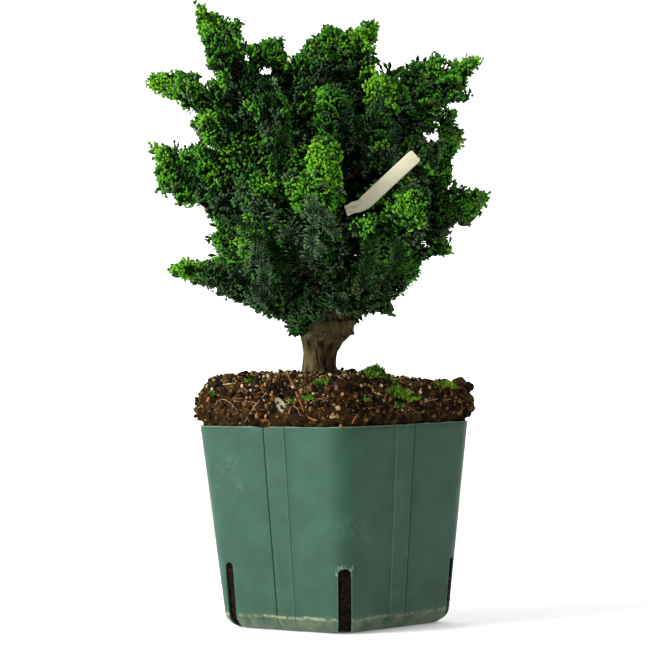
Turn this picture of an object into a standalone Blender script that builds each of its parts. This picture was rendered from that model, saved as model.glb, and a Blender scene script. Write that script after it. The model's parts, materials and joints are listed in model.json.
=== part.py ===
"""Potted dwarf cypress: square plastic pot, root ball, trunk and boughs, masses of foliage and a plant label.

Metres, +Z up. The origin is the middle of the pot's flat underside, and one corner of the pot faces -Y.
"""

import math

import bmesh
import bpy
from mathutils import Matrix, Vector, geometry, noise

# Pot
POT_HEIGHT = 0.1185
POT_MOUTH_SIDE = 0.1200
POT_BASE_SIDE = 0.0990
POT_CORNER_RADIUS = 0.0150
POT_CORNER_STEPS = 5
POT_HEEL_RADIUS = 0.0085
POT_HEEL_STEPS = 3
POT_WALL = 0.0011
POT_FLOOR = 0.0014
POT_TURN = math.radians(3.6)
STRIP_WIDTH = 0.0160
STRIP_SHIFT = 0.0060
STRIP_HEIGHT = 0.0005
STRIP_EDGE = 0.0004
# One slit at each corner: its turn from the diagonal (degrees), its shift along the wall, its width and height
SLITS = (
    (-25.0, 0.0, 0.0058, 0.0390),
    (0.0, 0.0, 0.0070, 0.0360),
    (45.0, 0.0015, 0.0058, 0.0388),
    (0.0, 0.0, 0.0076, 0.0378),
)
SLIT_PIVOT = 0.0545
SLIT_UNDER_FLOOR = 0.0040
SLIT_STEPS = 6

# Clearances: between neighbouring solids, and the room cut in a mass round a limb or the label
GAP = 0.0003
ROOM = 0.00045

# Root ball: its sides swell past the rim. Its top slopes down towards +X, with a level seat for the trunk.
SOIL_TOP = 0.1468
SOIL_SHOULDER = 0.1405
SOIL_SIDE_RINGS = ((0.1250, 0.0030), (0.1335, 0.0027), (SOIL_SHOULDER, 0.0))
SOIL_SIDE_SHARES = (-0.7, -0.42, -0.14, 0.14, 0.42, 0.7)
SOIL_TOP_SHARES = (0.93, 0.66, 0.42)
SOIL_FALL = 0.0055
SOIL_FALL_START = 0.0120
SOIL_FALL_RUN = 0.0400
SOIL_BUMP = 0.0024
SOIL_BUMP_SIZE = 0.0220
SOIL_CLOD = 0.0014
SOIL_CLOD_SIZE = 0.0120
SOIL_SEAT_RADIUS = 0.0150
SOIL_SEAT_FADE = 0.0120

# Trunk (height, middle in X, half-width) and its leader
TRUNK_STATIONS = (
    (SOIL_TOP + GAP, -0.0088, 0.0122),
    (0.1492, -0.0087, 0.0104),
    (0.1540, -0.0084, 0.0097),
    (0.1600, -0.0076, 0.0099),
    (0.1655, -0.0064, 0.0120),
    (0.1700, -0.0050, 0.0144),
    (0.1745, -0.0034, 0.0162),
    (0.1785, -0.0026, 0.0160),
)
TRUNK_SEAT = Vector((-0.0088, 0.0, 0.0))
TRUNK_DEPTH_SHARE = 0.94
TRUNK_FOLDS = ((3, 0.04), (5, 0.025))
TRUNK_TWIST = 90.0
TRUNK_SIDES = 16
LEADER_TOP = Vector((-0.0040, 0.0030, 0.2780))
LEADER_FOOT_RADIUS = 0.0100
LEADER_TOP_RADIUS = 0.0038
LEADER_SIDES = 9
LEADER_RINGS = 6

# Boughs: where each leaves the leader (height, compass angle), its foot radius, and the mass it enters.
# Compass angles run from +X towards +Y.
BOUGH_TIP_SHARE = 0.55
BOUGH_RISE = 0.35
BOUGH_BEND = 0.45
BOUGH_SIDES = 8
BOUGH_RINGS = 6
BOUGHS = {
    "bough_right_low": (0.1866, -12, 0.0070, "mass_right_lower"),
    "bough_left_low": (0.1856, 178, 0.0060, "mass_left_lower"),
    "bough_front_low": (0.1850, -82, 0.0052, "mass_front_plume"),
    "bough_back_low": (0.1850, 88, 0.0052, "mass_back_low"),
    "bough_right_middle": (0.2020, 12, 0.0046, "mass_right_middle"),
    "bough_left_middle": (0.2010, 168, 0.0046, "mass_left_middle"),
    "bough_front_left": (0.2000, -112, 0.0040, "mass_front_left"),
    "bough_back_middle": (0.2000, 90, 0.0042, "mass_back_middle"),
    "bough_right_top": (0.2250, 10, 0.0040, "mass_right_top"),
    "bough_left_top": (0.2250, 190, 0.0040, "mass_left_top"),
    "bough_front_top": (0.2350, -90, 0.0034, "mass_front_upper"),
}

# Masses of foliage: root, tip and greatest half-width.
MASSES = {
    "mass_top": ((-0.005, 0.003, 0.280), (-0.007, 0.000, 0.347), 0.0220),
    "mass_top_peak": ((0.008, 0.002, 0.290), (0.0245, -0.002, 0.355), 0.0165),
    "mass_top_tuft": ((-0.024, 0.010, 0.304), (-0.036, 0.008, 0.346), 0.0120),
    "mass_left_top": ((-0.033, -0.004, 0.268), (-0.071, -0.002, 0.367), 0.0178),
    "mass_left_upper": ((-0.052, 0.000, 0.302), (-0.107, -0.004, 0.324), 0.0125),
    "mass_left_tuft": ((-0.040, -0.022, 0.276), (-0.081, -0.030, 0.297), 0.0125),
    "mass_left_middle": ((-0.044, 0.000, 0.252), (-0.106, 0.000, 0.277), 0.0200),
    "mass_left_low": ((-0.036, -0.012, 0.218), (-0.074, -0.018, 0.231), 0.0140),
    "mass_left_lower": ((-0.034, 0.002, 0.200), (-0.096, 0.000, 0.214), 0.0115),
    "mass_left_base": ((-0.021, -0.014, 0.186), (-0.051, -0.024, 0.195), 0.0130),
    "mass_right_dome": ((0.027, 0.004, 0.276), (0.060, 0.006, 0.334), 0.0175),
    "mass_right_top": ((0.046, 0.000, 0.288), (0.089, 0.000, 0.333), 0.0125),
    "mass_right_upper": ((0.042, 0.001, 0.266), (0.082, 0.000, 0.289), 0.0165),
    "mass_right_middle": ((0.040, 0.000, 0.236), (0.094, -0.004, 0.249), 0.0145),
    "mass_right_low": ((0.036, 0.004, 0.214), (0.073, 0.002, 0.222), 0.0120),
    "mass_right_lower": ((0.022, -0.004, 0.200), (0.054, -0.004, 0.211), 0.0130),
    "mass_right_base": ((0.018, 0.010, 0.192), (0.038, 0.006, 0.183), 0.0075),
    "mass_front_plume": ((-0.012, -0.030, 0.200), (-0.002, -0.070, 0.285), 0.0170),
    "mass_front_left": ((-0.024, -0.028, 0.224), (-0.048, -0.062, 0.267), 0.0175),
    "mass_front_left_low": ((-0.020, -0.024, 0.198), (-0.054, -0.052, 0.234), 0.0155),
    "mass_front_right_low": ((0.020, -0.034, 0.206), (0.053, -0.062, 0.242), 0.0150),
    "mass_front_low": ((0.002, -0.018, 0.190), (0.030, -0.050, 0.203), 0.0140),
    "mass_front_upper": ((-0.004, -0.018, 0.260), (0.002, -0.044, 0.320), 0.0165),
    "mass_front_upper_left": ((-0.018, -0.020, 0.258), (-0.041, -0.046, 0.317), 0.0175),
    "mass_front_upper_right": ((0.016, -0.018, 0.264), (0.040, -0.040, 0.324), 0.0165),
    "mass_front_right": ((0.028, -0.018, 0.246), (0.061, -0.038, 0.287), 0.0165),
    "mass_back_top": ((-0.006, 0.020, 0.264), (-0.008, 0.050, 0.335), 0.0200),
    "mass_back_left_upper": ((-0.024, 0.018, 0.248), (-0.062, 0.046, 0.313), 0.0200),
    "mass_back_left": ((-0.026, 0.018, 0.218), (-0.074, 0.054, 0.258), 0.0205),
    "mass_back_left_low": ((-0.018, 0.016, 0.194), (-0.056, 0.044, 0.216), 0.0170),
    "mass_back_middle": ((-0.005, 0.026, 0.226), (-0.008, 0.082, 0.274), 0.0215),
    "mass_back_low": ((-0.004, 0.020, 0.194), (-0.002, 0.068, 0.220), 0.0180),
    "mass_back_right_upper": ((0.018, 0.018, 0.248), (0.052, 0.048, 0.313), 0.0200),
    "mass_back_right": ((0.022, 0.020, 0.218), (0.066, 0.054, 0.256), 0.0200),
    "mass_back_right_low": ((0.014, 0.016, 0.194), (0.046, 0.046, 0.214), 0.0160),
}
MASS_SIDES = 9
MASS_PROFILE = (
    (0.0, 0.50),
    (0.14, 0.80),
    (0.34, 0.98),
    (0.54, 1.0),
    (0.74, 0.90),
    (0.90, 0.66),
    (0.975, 0.36),
)
MASS_UNEVEN = 0.40
LUMP_SIZE = 0.014
MEETING_SHARE = 1.8
AXIS_STEPS = 24
MERGE = 0.00002

# Plant label: a strip bent at its crease, seen lying in the foliage at the front.
LABEL_WIDTH = 0.0082
LABEL_THICKNESS = 0.0009
LABEL_TOP = Vector((0.0492, -0.0560, 0.2720))
LABEL_CREASE = Vector((0.0185, -0.0520, 0.2445))
LABEL_END = Vector((0.0085, -0.0500, 0.2410))
LABEL_CORNER = 0.0018
LABEL_END_SHARE = 0.9
MASSES_BEHIND_LABEL = ("mass_front_right", "mass_right_middle", "mass_front_upper_right")

COLOURS = {
    "pot": ((0.10, 0.26, 0.18), 0.42),
    "soil": ((0.07, 0.04, 0.02), 0.95),
    "bark": ((0.17, 0.11, 0.06), 0.85),
    "foliage": ((0.05, 0.20, 0.03), 0.60),
    "label": ((0.72, 0.66, 0.45), 0.55),
}


def clear_scene():
    for thing in list(bpy.data.objects):
        bpy.data.objects.remove(thing)


def material(slot):
    found = bpy.data.materials.get(slot)
    if found:
        return found
    colour, roughness = COLOURS[slot]
    made = bpy.data.materials.new(slot)
    made.use_nodes = True
    shader = made.node_tree.nodes["Principled BSDF"]
    shader.inputs["Base Color"].default_value = (*colour, 1.0)
    shader.inputs["Roughness"].default_value = roughness
    shader.inputs["Metallic"].default_value = 0.0
    return made


def add_object(name, shape, slot, smooth=True):
    """Makes a named object of a bmesh, which is freed."""
    bmesh.ops.recalc_face_normals(shape, faces=shape.faces[:])
    mesh = bpy.data.meshes.new(name)
    shape.to_mesh(mesh)
    shape.free()
    if smooth:
        mesh.shade_smooth()
        mesh.set_sharp_from_angle(angle=math.radians(50))
    mesh.materials.append(material(slot))
    made = bpy.data.objects.new(name, mesh)
    bpy.context.scene.collection.objects.link(made)
    return made


def loft(rings, cap_start=True, cap_end=True):
    """A bmesh of quads between rings that have the same number of points, with flat caps."""
    shape = bmesh.new()
    made = [[shape.verts.new(point) for point in ring] for ring in rings]
    for low, high in zip(made, made[1:]):
        for i in range(len(low)):
            j = (i + 1) % len(low)
            shape.faces.new((low[i], low[j], high[j], high[i]))
    if cap_start:
        shape.faces.new(reversed(made[0]))
    if cap_end:
        shape.faces.new(made[-1])
    return shape


def side_frame(direction):
    """Two unit vectors square to a direction."""
    helper = Vector((0, 0, 1)) if abs(direction.normalized().z) < 0.9 else Vector((1, 0, 0))
    across = direction.cross(helper).normalized()
    return across, direction.normalized().cross(across)


def tube(path, radii, sides):
    """A closed limb along a path, its end faces square to its first and last steps, without twist."""
    rings = []
    across, _ = side_frame(path[-1] - path[0])
    for k, (centre, radius) in enumerate(zip(path, radii)):
        heading = (path[min(k + 1, len(path) - 1)] - path[max(k - 1, 0)]).normalized()
        across = (across - heading * across.dot(heading)).normalized()
        up = heading.cross(across)
        ring = []
        for i in range(sides):
            angle = 2 * math.pi * i / sides
            ring.append(centre + radius * (math.cos(angle) * across + math.sin(angle) * up))
        rings.append(ring)
    return loft(rings)


def bent_path(start, leaving, end, steps):
    """Points along a quadratic curve from start to end that leaves in a given direction."""
    middle = start + leaving.normalized() * (end - start).length * BOUGH_BEND
    points = []
    for k in range(steps):
        t = k / (steps - 1)
        points.append((1 - t) ** 2 * start + 2 * t * (1 - t) * middle + t * t * end)
    return points


def pot_side(z):
    """The pot's outer side length at a height, before the heel is rounded."""
    return POT_BASE_SIDE + (POT_MOUTH_SIDE - POT_BASE_SIDE) * z / POT_HEIGHT


def strip_points(side, height, number):
    """Four points over a side's raised strip, which lies nearer the front or the back corner."""
    points = []
    shift = STRIP_SHIFT * (1 if number in (1, 3) else -1)
    for edge, lift in ((-0.5, 0), (-0.5, 1), (0.5, 1), (0.5, 0)):
        nudge = STRIP_EDGE * (lift - 0.5) * (-1 if edge > 0 else 1)
        along = (edge * STRIP_WIDTH + shift + nudge) * side / POT_MOUTH_SIDE
        points.append(Vector((side / 2 + lift * height, along)))
    return points


def square_ring(side, z, strip_height=None):
    """A rounded square turned as the pot is: with the pot's raised strips, or with plain sides."""
    points = []
    radius = POT_CORNER_RADIUS * side / POT_MOUTH_SIDE
    inner = side / 2 - radius
    for corner in range(4):
        start = math.radians(-45 + 90 * corner) + POT_TURN
        facing = Matrix.Rotation(start, 2)
        if strip_height is None:
            along_side = [Vector((side / 2, inner * share)) for share in SOIL_SIDE_SHARES]
        else:
            along_side = strip_points(side, strip_height, corner)
        points += [facing @ point for point in along_side]
        for step in range(POT_CORNER_STEPS + 1):
            angle = math.radians(90) * step / POT_CORNER_STEPS
            arc = Vector((inner + radius * math.cos(angle), inner + radius * math.sin(angle)))
            points.append(facing @ arc)
    return [Vector((p.x, p.y, z)) for p in points]


def pot_rings(inset, floor, heel, top, strip_height=None):
    """Rings from the foot of the heel's curve up to a height, drawn in by an inset."""
    rings = []
    for step in range(POT_HEEL_STEPS + 1):
        angle = math.radians(90) * step / POT_HEEL_STEPS
        z = floor + heel * (1 - math.cos(angle))
        drawn_in = inset + heel * (1 - math.sin(angle))
        lift = strip_height if strip_height is None or step == POT_HEEL_STEPS else 0.0
        rings.append(square_ring(pot_side(z) - 2 * drawn_in, z, lift))
    rings.append(square_ring(pot_side(top) - 2 * inset, top, strip_height))
    return rings


def slit_cutter(corner):
    """A round-topped slot through the wall near a corner and in under the floor."""
    turn, shift, width, height = SLITS[corner]
    half = width / 2
    outline = [Vector((-half, -half)), Vector((half, -half))]
    for step in range(SLIT_STEPS + 1):
        angle = math.pi * step / SLIT_STEPS
        outline.append(Vector((half * math.cos(angle), height - half + half * math.sin(angle))))
    diagonal = math.radians(90 * corner) + POT_TURN
    pivot = Vector((math.cos(diagonal), math.sin(diagonal), 0)) * SLIT_PIVOT
    heading = diagonal + math.radians(turn)
    out = Vector((math.cos(heading), math.sin(heading), 0))
    across = Vector((-out.y, out.x, 0))
    rings = []
    for reach in (-SLIT_UNDER_FLOOR, POT_MOUTH_SIDE / 2):
        foot = pivot + out * reach + across * shift
        rings.append([foot + across * p.x + Vector((0, 0, p.y)) for p in outline])
    cutter = add_object(f"slit_cutter_{corner}", loft(rings), "pot", smooth=False)
    hide_as_guide(cutter)
    return cutter


def hide_as_guide(guide):
    guide.hide_render = True
    guide.display_type = "WIRE"


def cut_away(target, cutter):
    cut = target.modifiers.new(cutter.name, "BOOLEAN")
    cut.operation = "DIFFERENCE"
    cut.solver = "EXACT"
    cut.object = cutter


def build_pot():
    outer = pot_rings(0.0, 0.0, POT_HEEL_RADIUS, POT_HEIGHT, STRIP_HEIGHT)
    inner = pot_rings(POT_WALL, POT_FLOOR, POT_HEEL_RADIUS - POT_WALL, POT_HEIGHT, 0.0)
    pot = add_object("pot", loft(outer + inner[::-1]), "pot")
    for corner in range(4):
        cut_away(pot, slit_cutter(corner))
    return pot


def soil_height(x, y):
    """The uneven top of the root ball, level where the trunk stands."""
    away = math.hypot(x - TRUNK_SEAT.x, y - TRUNK_SEAT.y)
    fade = min(1.0, max(0.0, (away - SOIL_SEAT_RADIUS) / SOIL_SEAT_FADE))
    bump = SOIL_BUMP * noise.noise(Vector((x, y, SOIL_TOP)) / SOIL_BUMP_SIZE)
    fall = SOIL_FALL * min(1.0, max(0.0, (x - SOIL_FALL_START) / SOIL_FALL_RUN))
    return SOIL_TOP + fade * (bump - fall)


def build_soil():
    """The root ball: it fills the pot and stands above the rim, with a level seat under the trunk."""
    inset = POT_WALL + GAP
    rings = pot_rings(inset, POT_FLOOR + GAP, POT_HEEL_RADIUS - inset, POT_HEIGHT + GAP)
    for z, swell in SOIL_SIDE_RINGS:
        ring = []
        for point in square_ring(pot_side(POT_HEIGHT) - 2 * inset, z):
            rough = SOIL_CLOD * noise.noise(point / SOIL_CLOD_SIZE)
            scale = 1 + (swell + rough) / (POT_MOUTH_SIDE / 2)
            ring.append(Vector((point.x * scale, point.y * scale, z)))
        rings.append(ring)
    shoulder = [Vector((point.x, point.y, 0)) for point in rings[-1]]
    for share in SOIL_TOP_SHARES:
        flat = [TRUNK_SEAT.lerp(point, share) for point in shoulder]
        rings.append([Vector((p.x, p.y, soil_height(p.x, p.y))) for p in flat])
    headings = [(point - TRUNK_SEAT).normalized() for point in shoulder]
    level = TRUNK_SEAT + Vector((0, 0, SOIL_TOP))
    rings.append([level + heading * SOIL_SEAT_RADIUS for heading in headings])
    return add_object("root_ball", loft(rings), "soil")


def build_trunk():
    """The trunk from its flat foot, through its root flare and waist, to the head where the boughs part."""
    rings = []
    for z, middle, half in TRUNK_STATIONS:
        ring = []
        for i in range(TRUNK_SIDES):
            angle = 2 * math.pi * i / TRUNK_SIDES
            folds = sum(height * math.sin(count * angle + TRUNK_TWIST * z) for count, height in TRUNK_FOLDS)
            reach = half * (1 + folds)
            x = middle + reach * math.cos(angle)
            ring.append(Vector((x, reach * TRUNK_DEPTH_SHARE * math.sin(angle), z)))
        rings.append(ring)
    return add_object("trunk", loft(rings), "bark")


def leader_foot():
    z, middle, _ = TRUNK_STATIONS[-1]
    return Vector((middle, 0.0, z + GAP))


def leader_at(z):
    """The leader's centre and radius at a height."""
    foot = leader_foot()
    t = (z - foot.z) / (LEADER_TOP.z - foot.z)
    return foot.lerp(LEADER_TOP, t), LEADER_FOOT_RADIUS + (LEADER_TOP_RADIUS - LEADER_FOOT_RADIUS) * t


def leader_shape(swell=0.0):
    """The trunk's tapering leader, with level ends."""
    foot = leader_foot()
    rings = []
    for k in range(LEADER_RINGS):
        z = foot.z + (LEADER_TOP.z - foot.z) * k / (LEADER_RINGS - 1)
        centre, radius = leader_at(z)
        ring = []
        for i in range(LEADER_SIDES):
            angle = 2 * math.pi * i / LEADER_SIDES
            ring.append(centre + (radius + swell) * Vector((math.cos(angle), math.sin(angle), 0)))
        rings.append(ring)
    return loft(rings)


def bough_shape(name, swell=0.0):
    """One tapering bough, from the leader's side to the root of its mass."""
    height, compass, radius, mass = BOUGHS[name]
    centre, leader_radius = leader_at(height)
    out = Vector((math.cos(math.radians(compass)), math.sin(math.radians(compass)), 0))
    root, tip, _ = MASSES[mass]
    inward = (Vector(tip) - Vector(root)).normalized()
    start = centre + out * (leader_radius + GAP - swell)
    end = Vector(root) - inward * GAP
    path = bent_path(start, out + Vector((0, 0, BOUGH_RISE)), end, BOUGH_RINGS)
    radii = []
    for k in range(BOUGH_RINGS):
        taper = 1 + (BOUGH_TIP_SHARE - 1) * k / (BOUGH_RINGS - 1)
        radii.append(radius * taper + swell)
    shape = tube(path, radii, BOUGH_SIDES)
    clip(shape, start, -out)
    clip(shape, end, inward)
    return shape


def clip(shape, point, normal):
    """Cuts away what lies past a plane and closes the cut."""
    made = bmesh.ops.bisect_plane(
        shape,
        geom=shape.verts[:] + shape.edges[:] + shape.faces[:],
        dist=1e-7,
        plane_co=point,
        plane_no=normal,
        clear_outer=True,
    )
    edges = [part for part in made["geom_cut"] if isinstance(part, bmesh.types.BMEdge)]
    edges = [edge for edge in edges if edge.is_boundary]
    if edges:
        bmesh.ops.triangle_fill(shape, edges=edges, use_beauty=True, use_dissolve=False)


def profile_at(t):
    """A mass's half-width along its axis, as a share of its greatest."""
    for (t0, r0), (t1, r1) in zip(MASS_PROFILE, MASS_PROFILE[1:]):
        if t <= t1:
            return r0 + (r1 - r0) * (t - t0) / (t1 - t0)
    return MASS_PROFILE[-1][1]


def mass_shape(name):
    """An uneven plume of foliage from its root to its tip."""
    root, tip, girth = MASSES[name]
    root, tip = Vector(root), Vector(tip)
    axis = tip - root
    across, up = side_frame(axis)
    rings = []
    for t, share in MASS_PROFILE:
        ring = []
        for i in range(MASS_SIDES):
            angle = 2 * math.pi * (i + 0.5 * (len(rings) % 2)) / MASS_SIDES
            way = math.cos(angle) * across + math.sin(angle) * up
            place = root + axis * t + way * girth * share
            lump = 1 + MASS_UNEVEN * noise.noise(place / LUMP_SIZE)
            ring.append(root + axis * t + way * girth * share * lump)
        rings.append(ring)
    shape = loft(rings, cap_end=False)
    shape.verts.ensure_lookup_table()
    point = shape.verts.new(tip)
    last = shape.verts[-1 - MASS_SIDES : -1]
    for i in range(MASS_SIDES):
        shape.faces.new((last[i], last[(i + 1) % MASS_SIDES], point))
    bmesh.ops.triangulate(shape, faces=shape.faces[:])
    return shape


def nearest_on_axes(first, second):
    """The points on two masses' axes that lie nearest each other, with the half-widths there."""
    best = None
    root_a, tip_a, girth_a = MASSES[first]
    root_b, tip_b, girth_b = MASSES[second]
    for i in range(AXIS_STEPS + 1):
        p = Vector(root_a).lerp(Vector(tip_a), i / AXIS_STEPS)
        _, t = geometry.intersect_point_line(p, Vector(root_b), Vector(tip_b))
        t = min(1.0, max(0.0, t))
        q = Vector(root_b).lerp(Vector(tip_b), t)
        wide_a = girth_a * profile_at(i / AXIS_STEPS)
        wide_b = girth_b * profile_at(t)
        share = (q - p).length / (wide_a + wide_b)
        if best is None or share < best[0]:
            best = (share, p, q, wide_a, wide_b)
    return best


def part_masses(shapes):
    """Parts every two masses that meet along a plane between them, with a clearance."""
    names = list(shapes)
    for i, first in enumerate(names):
        for second in names[i + 1 :]:
            share, p, q, wide_a, wide_b = nearest_on_axes(first, second)
            if share > MEETING_SHARE:
                continue
            normal = (q - p).normalized()
            middle = p + (q - p) * wide_a / (wide_a + wide_b)
            clip(shapes[first], middle - normal * GAP / 2, normal)
            clip(shapes[second], middle + normal * GAP / 2, -normal)


def label_normal():
    """The label stands on edge: its normal is level, and faces the viewer."""
    normal = (LABEL_TOP - LABEL_CREASE).cross(Vector((0, 0, 1))).normalized()
    return normal if normal.y < 0 else -normal


def label_shape(swell=0.0):
    """A flat strip bent at its crease, with round corners at its upper end."""
    normal = label_normal()
    along = (LABEL_TOP - LABEL_CREASE).normalized()
    across = normal.cross(along)
    half = LABEL_WIDTH / 2 + swell
    thickness = LABEL_THICKNESS + 2 * swell
    length = (LABEL_TOP - LABEL_CREASE).length + swell
    end = LABEL_END + (LABEL_END - LABEL_CREASE).normalized() * swell
    side = []
    for angle in (0.0, math.radians(45), math.radians(90)):
        drawn_in = half - LABEL_CORNER * (1 - math.cos(angle))
        side.append((length - LABEL_CORNER * (1 - math.sin(angle)), drawn_in))
    outline = [end - across * half * LABEL_END_SHARE, end + across * half * LABEL_END_SHARE]
    outline += [LABEL_CREASE + across * half]
    outline += [LABEL_CREASE + along * u + across * v for u, v in side]
    outline += [LABEL_CREASE + along * u - across * v for u, v in reversed(side)]
    outline += [LABEL_CREASE - across * half]
    back = [point - normal * thickness / 2 for point in outline]
    front = [point + normal * thickness / 2 for point in outline]
    shape = bmesh.new()
    low = [shape.verts.new(point) for point in back]
    high = [shape.verts.new(point) for point in front]
    last = len(outline) - 1
    for i in range(len(outline)):
        j = (i + 1) % len(outline)
        shape.faces.new((low[i], low[j], high[j], high[i]))
    for layer in (low, high):
        shape.faces.new((layer[0], layer[1], layer[2], layer[last]))
        shape.faces.new(layer[2 : last + 1])
    return shape


def build_masses():
    """The masses, parted from each other, and those behind the label cut level with its back."""
    shapes = {name: mass_shape(name) for name in MASSES}
    part_masses(shapes)
    behind = LABEL_CREASE - label_normal() * (LABEL_THICKNESS / 2 + GAP)
    for name in MASSES_BEHIND_LABEL:
        clip(shapes[name], behind, label_normal())
    made = {}
    for name, shape in shapes.items():
        bmesh.ops.remove_doubles(shape, verts=shape.verts[:], dist=MERGE)
        bmesh.ops.dissolve_degenerate(shape, edges=shape.edges[:], dist=MERGE)
        made[name] = add_object(name, shape, "foliage")
    return made


def boxes_meet(first, second):
    """True if two objects' boxes overlap, each taken from its own mesh."""
    corners = []
    for thing in (first, second):
        points = [vertex.co for vertex in thing.data.vertices]
        corners.append([(min(p[k] for p in points), max(p[k] for p in points)) for k in range(3)])
    return all(a[0] < b[1] and b[0] < a[1] for a, b in zip(*corners))


def build_limbs_and_label(masses):
    """The leader, the boughs and the label, and the masses cut round whatever passes them."""
    add_object("leader", leader_shape(), "bark")
    cutters = [add_object("leader_room", leader_shape(ROOM), "bark")]
    for name in BOUGHS:
        add_object(name, bough_shape(name), "bark")
        cutters.append(add_object(f"{name}_room", bough_shape(name, ROOM), "bark"))
    add_object("plant_label", label_shape(), "label", smooth=False)
    cutters.append(add_object("plant_label_room", label_shape(ROOM), "label"))
    for cutter in cutters:
        hide_as_guide(cutter)
        for mass in masses.values():
            if boxes_meet(cutter, mass):
                cut_away(mass, cutter)


def main():
    clear_scene()
    build_pot()
    build_soil()
    build_trunk()
    masses = build_masses()
    build_limbs_and_label(masses)


main()
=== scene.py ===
"""Potted dwarf cypress: the finished surfaces of a small conifer, its root ball, its square pot and its label.

Laid out as a Blender add-on and run as a script. Metres, +Z up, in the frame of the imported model, whose
origin is the middle of the pot's underside and whose -Y side is the one in the photograph.
"""

import json
import math
import random

import bmesh
import bpy
import numpy as np
from bpy.props import FloatProperty, FloatVectorProperty, IntProperty, PointerProperty
from bpy.types import Operator, Panel, PropertyGroup
from mathutils import Matrix, Vector, noise
from mathutils.bvhtree import BVHTree

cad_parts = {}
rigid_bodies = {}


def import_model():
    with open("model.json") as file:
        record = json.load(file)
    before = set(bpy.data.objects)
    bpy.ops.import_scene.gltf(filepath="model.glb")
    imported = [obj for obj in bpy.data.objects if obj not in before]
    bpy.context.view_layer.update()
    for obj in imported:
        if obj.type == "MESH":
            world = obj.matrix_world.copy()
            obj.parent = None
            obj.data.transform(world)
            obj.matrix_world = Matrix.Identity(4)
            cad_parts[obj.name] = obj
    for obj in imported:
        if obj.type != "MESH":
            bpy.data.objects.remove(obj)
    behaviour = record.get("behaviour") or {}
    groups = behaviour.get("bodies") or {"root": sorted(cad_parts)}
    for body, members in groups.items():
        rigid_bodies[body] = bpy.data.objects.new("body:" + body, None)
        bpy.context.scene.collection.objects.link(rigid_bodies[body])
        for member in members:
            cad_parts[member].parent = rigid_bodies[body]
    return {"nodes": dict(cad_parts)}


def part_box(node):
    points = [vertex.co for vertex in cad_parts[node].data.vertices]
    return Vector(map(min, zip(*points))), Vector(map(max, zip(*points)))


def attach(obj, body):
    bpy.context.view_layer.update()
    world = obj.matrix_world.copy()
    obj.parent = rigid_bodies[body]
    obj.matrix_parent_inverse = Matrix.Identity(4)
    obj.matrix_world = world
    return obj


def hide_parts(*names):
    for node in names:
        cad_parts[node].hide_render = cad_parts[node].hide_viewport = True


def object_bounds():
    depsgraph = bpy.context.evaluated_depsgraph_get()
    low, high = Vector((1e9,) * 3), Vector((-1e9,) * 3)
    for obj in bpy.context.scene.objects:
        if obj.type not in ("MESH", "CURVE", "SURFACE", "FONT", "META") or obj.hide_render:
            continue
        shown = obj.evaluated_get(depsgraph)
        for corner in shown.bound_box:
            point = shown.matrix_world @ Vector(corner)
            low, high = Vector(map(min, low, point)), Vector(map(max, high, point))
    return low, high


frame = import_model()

bl_info = {
    "name": "Potted dwarf cypress",
    "version": (1, 0, 0),
    "blender": (4, 5, 0),
    "location": "View3D > Sidebar > Cypress",
    "description": "Builds the finish of a potted dwarf cypress round its packed model",
    "category": "Add Mesh",
}

CAD_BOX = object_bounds()
POT_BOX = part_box("pot")
SOIL_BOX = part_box("root_ball")
MASS_NODES = sorted(name for name in frame["nodes"] if name.startswith("mass_"))
WOOD_NODES = sorted(name for name in frame["nodes"] if name.startswith("bough_")) + ["leader", "trunk"]

# The photograph's camera: level, a little turned about its own axis
PHOTO_SIDE = 650
SENSOR = 36.0
CAMERA_PLACE = Vector((-0.0044, -1.900, 0.176))
CAMERA_ROLL = 0.0169
FOCAL_PIXELS = 3237.0

# Pot, beyond what its settings hold
POT_TURN = math.radians(3.6)
HEEL_RADIUS = 0.0085
CORNER_STEPS = 7
STRIP_SHIFT = 0.0060
STRIP_EDGE = 0.0004
# One slit at each corner: its turn from the diagonal (degrees), its shift along the wall, its width and height
SLITS = (
    (-25.0, 0.0, 0.0058, 0.0390),
    (0.0, 0.0, 0.0070, 0.0360),
    (45.0, 0.0015, 0.0058, 0.0388),
    (0.0, 0.0, 0.0076, 0.0378),
)
SLIT_PIVOT = 0.0545
SLIT_UNDER_FLOOR = 0.0040

# Foliage
BOX_MIDDLE = (np.array(CAD_BOX[0]) + np.array(CAD_BOX[1])) / 2
BOX_REACH = (np.array(CAD_BOX[1]) - np.array(CAD_BOX[0])) / 2 + 0.0022
HEART = Vector((-0.004, 0.0, 0.205))
GOLDEN_ANGLE = math.radians(137.508)
PLUME_SIZE = 0.0250
PLUME_DROP = 0.0065
TIP_TAPER = 0.30

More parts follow.
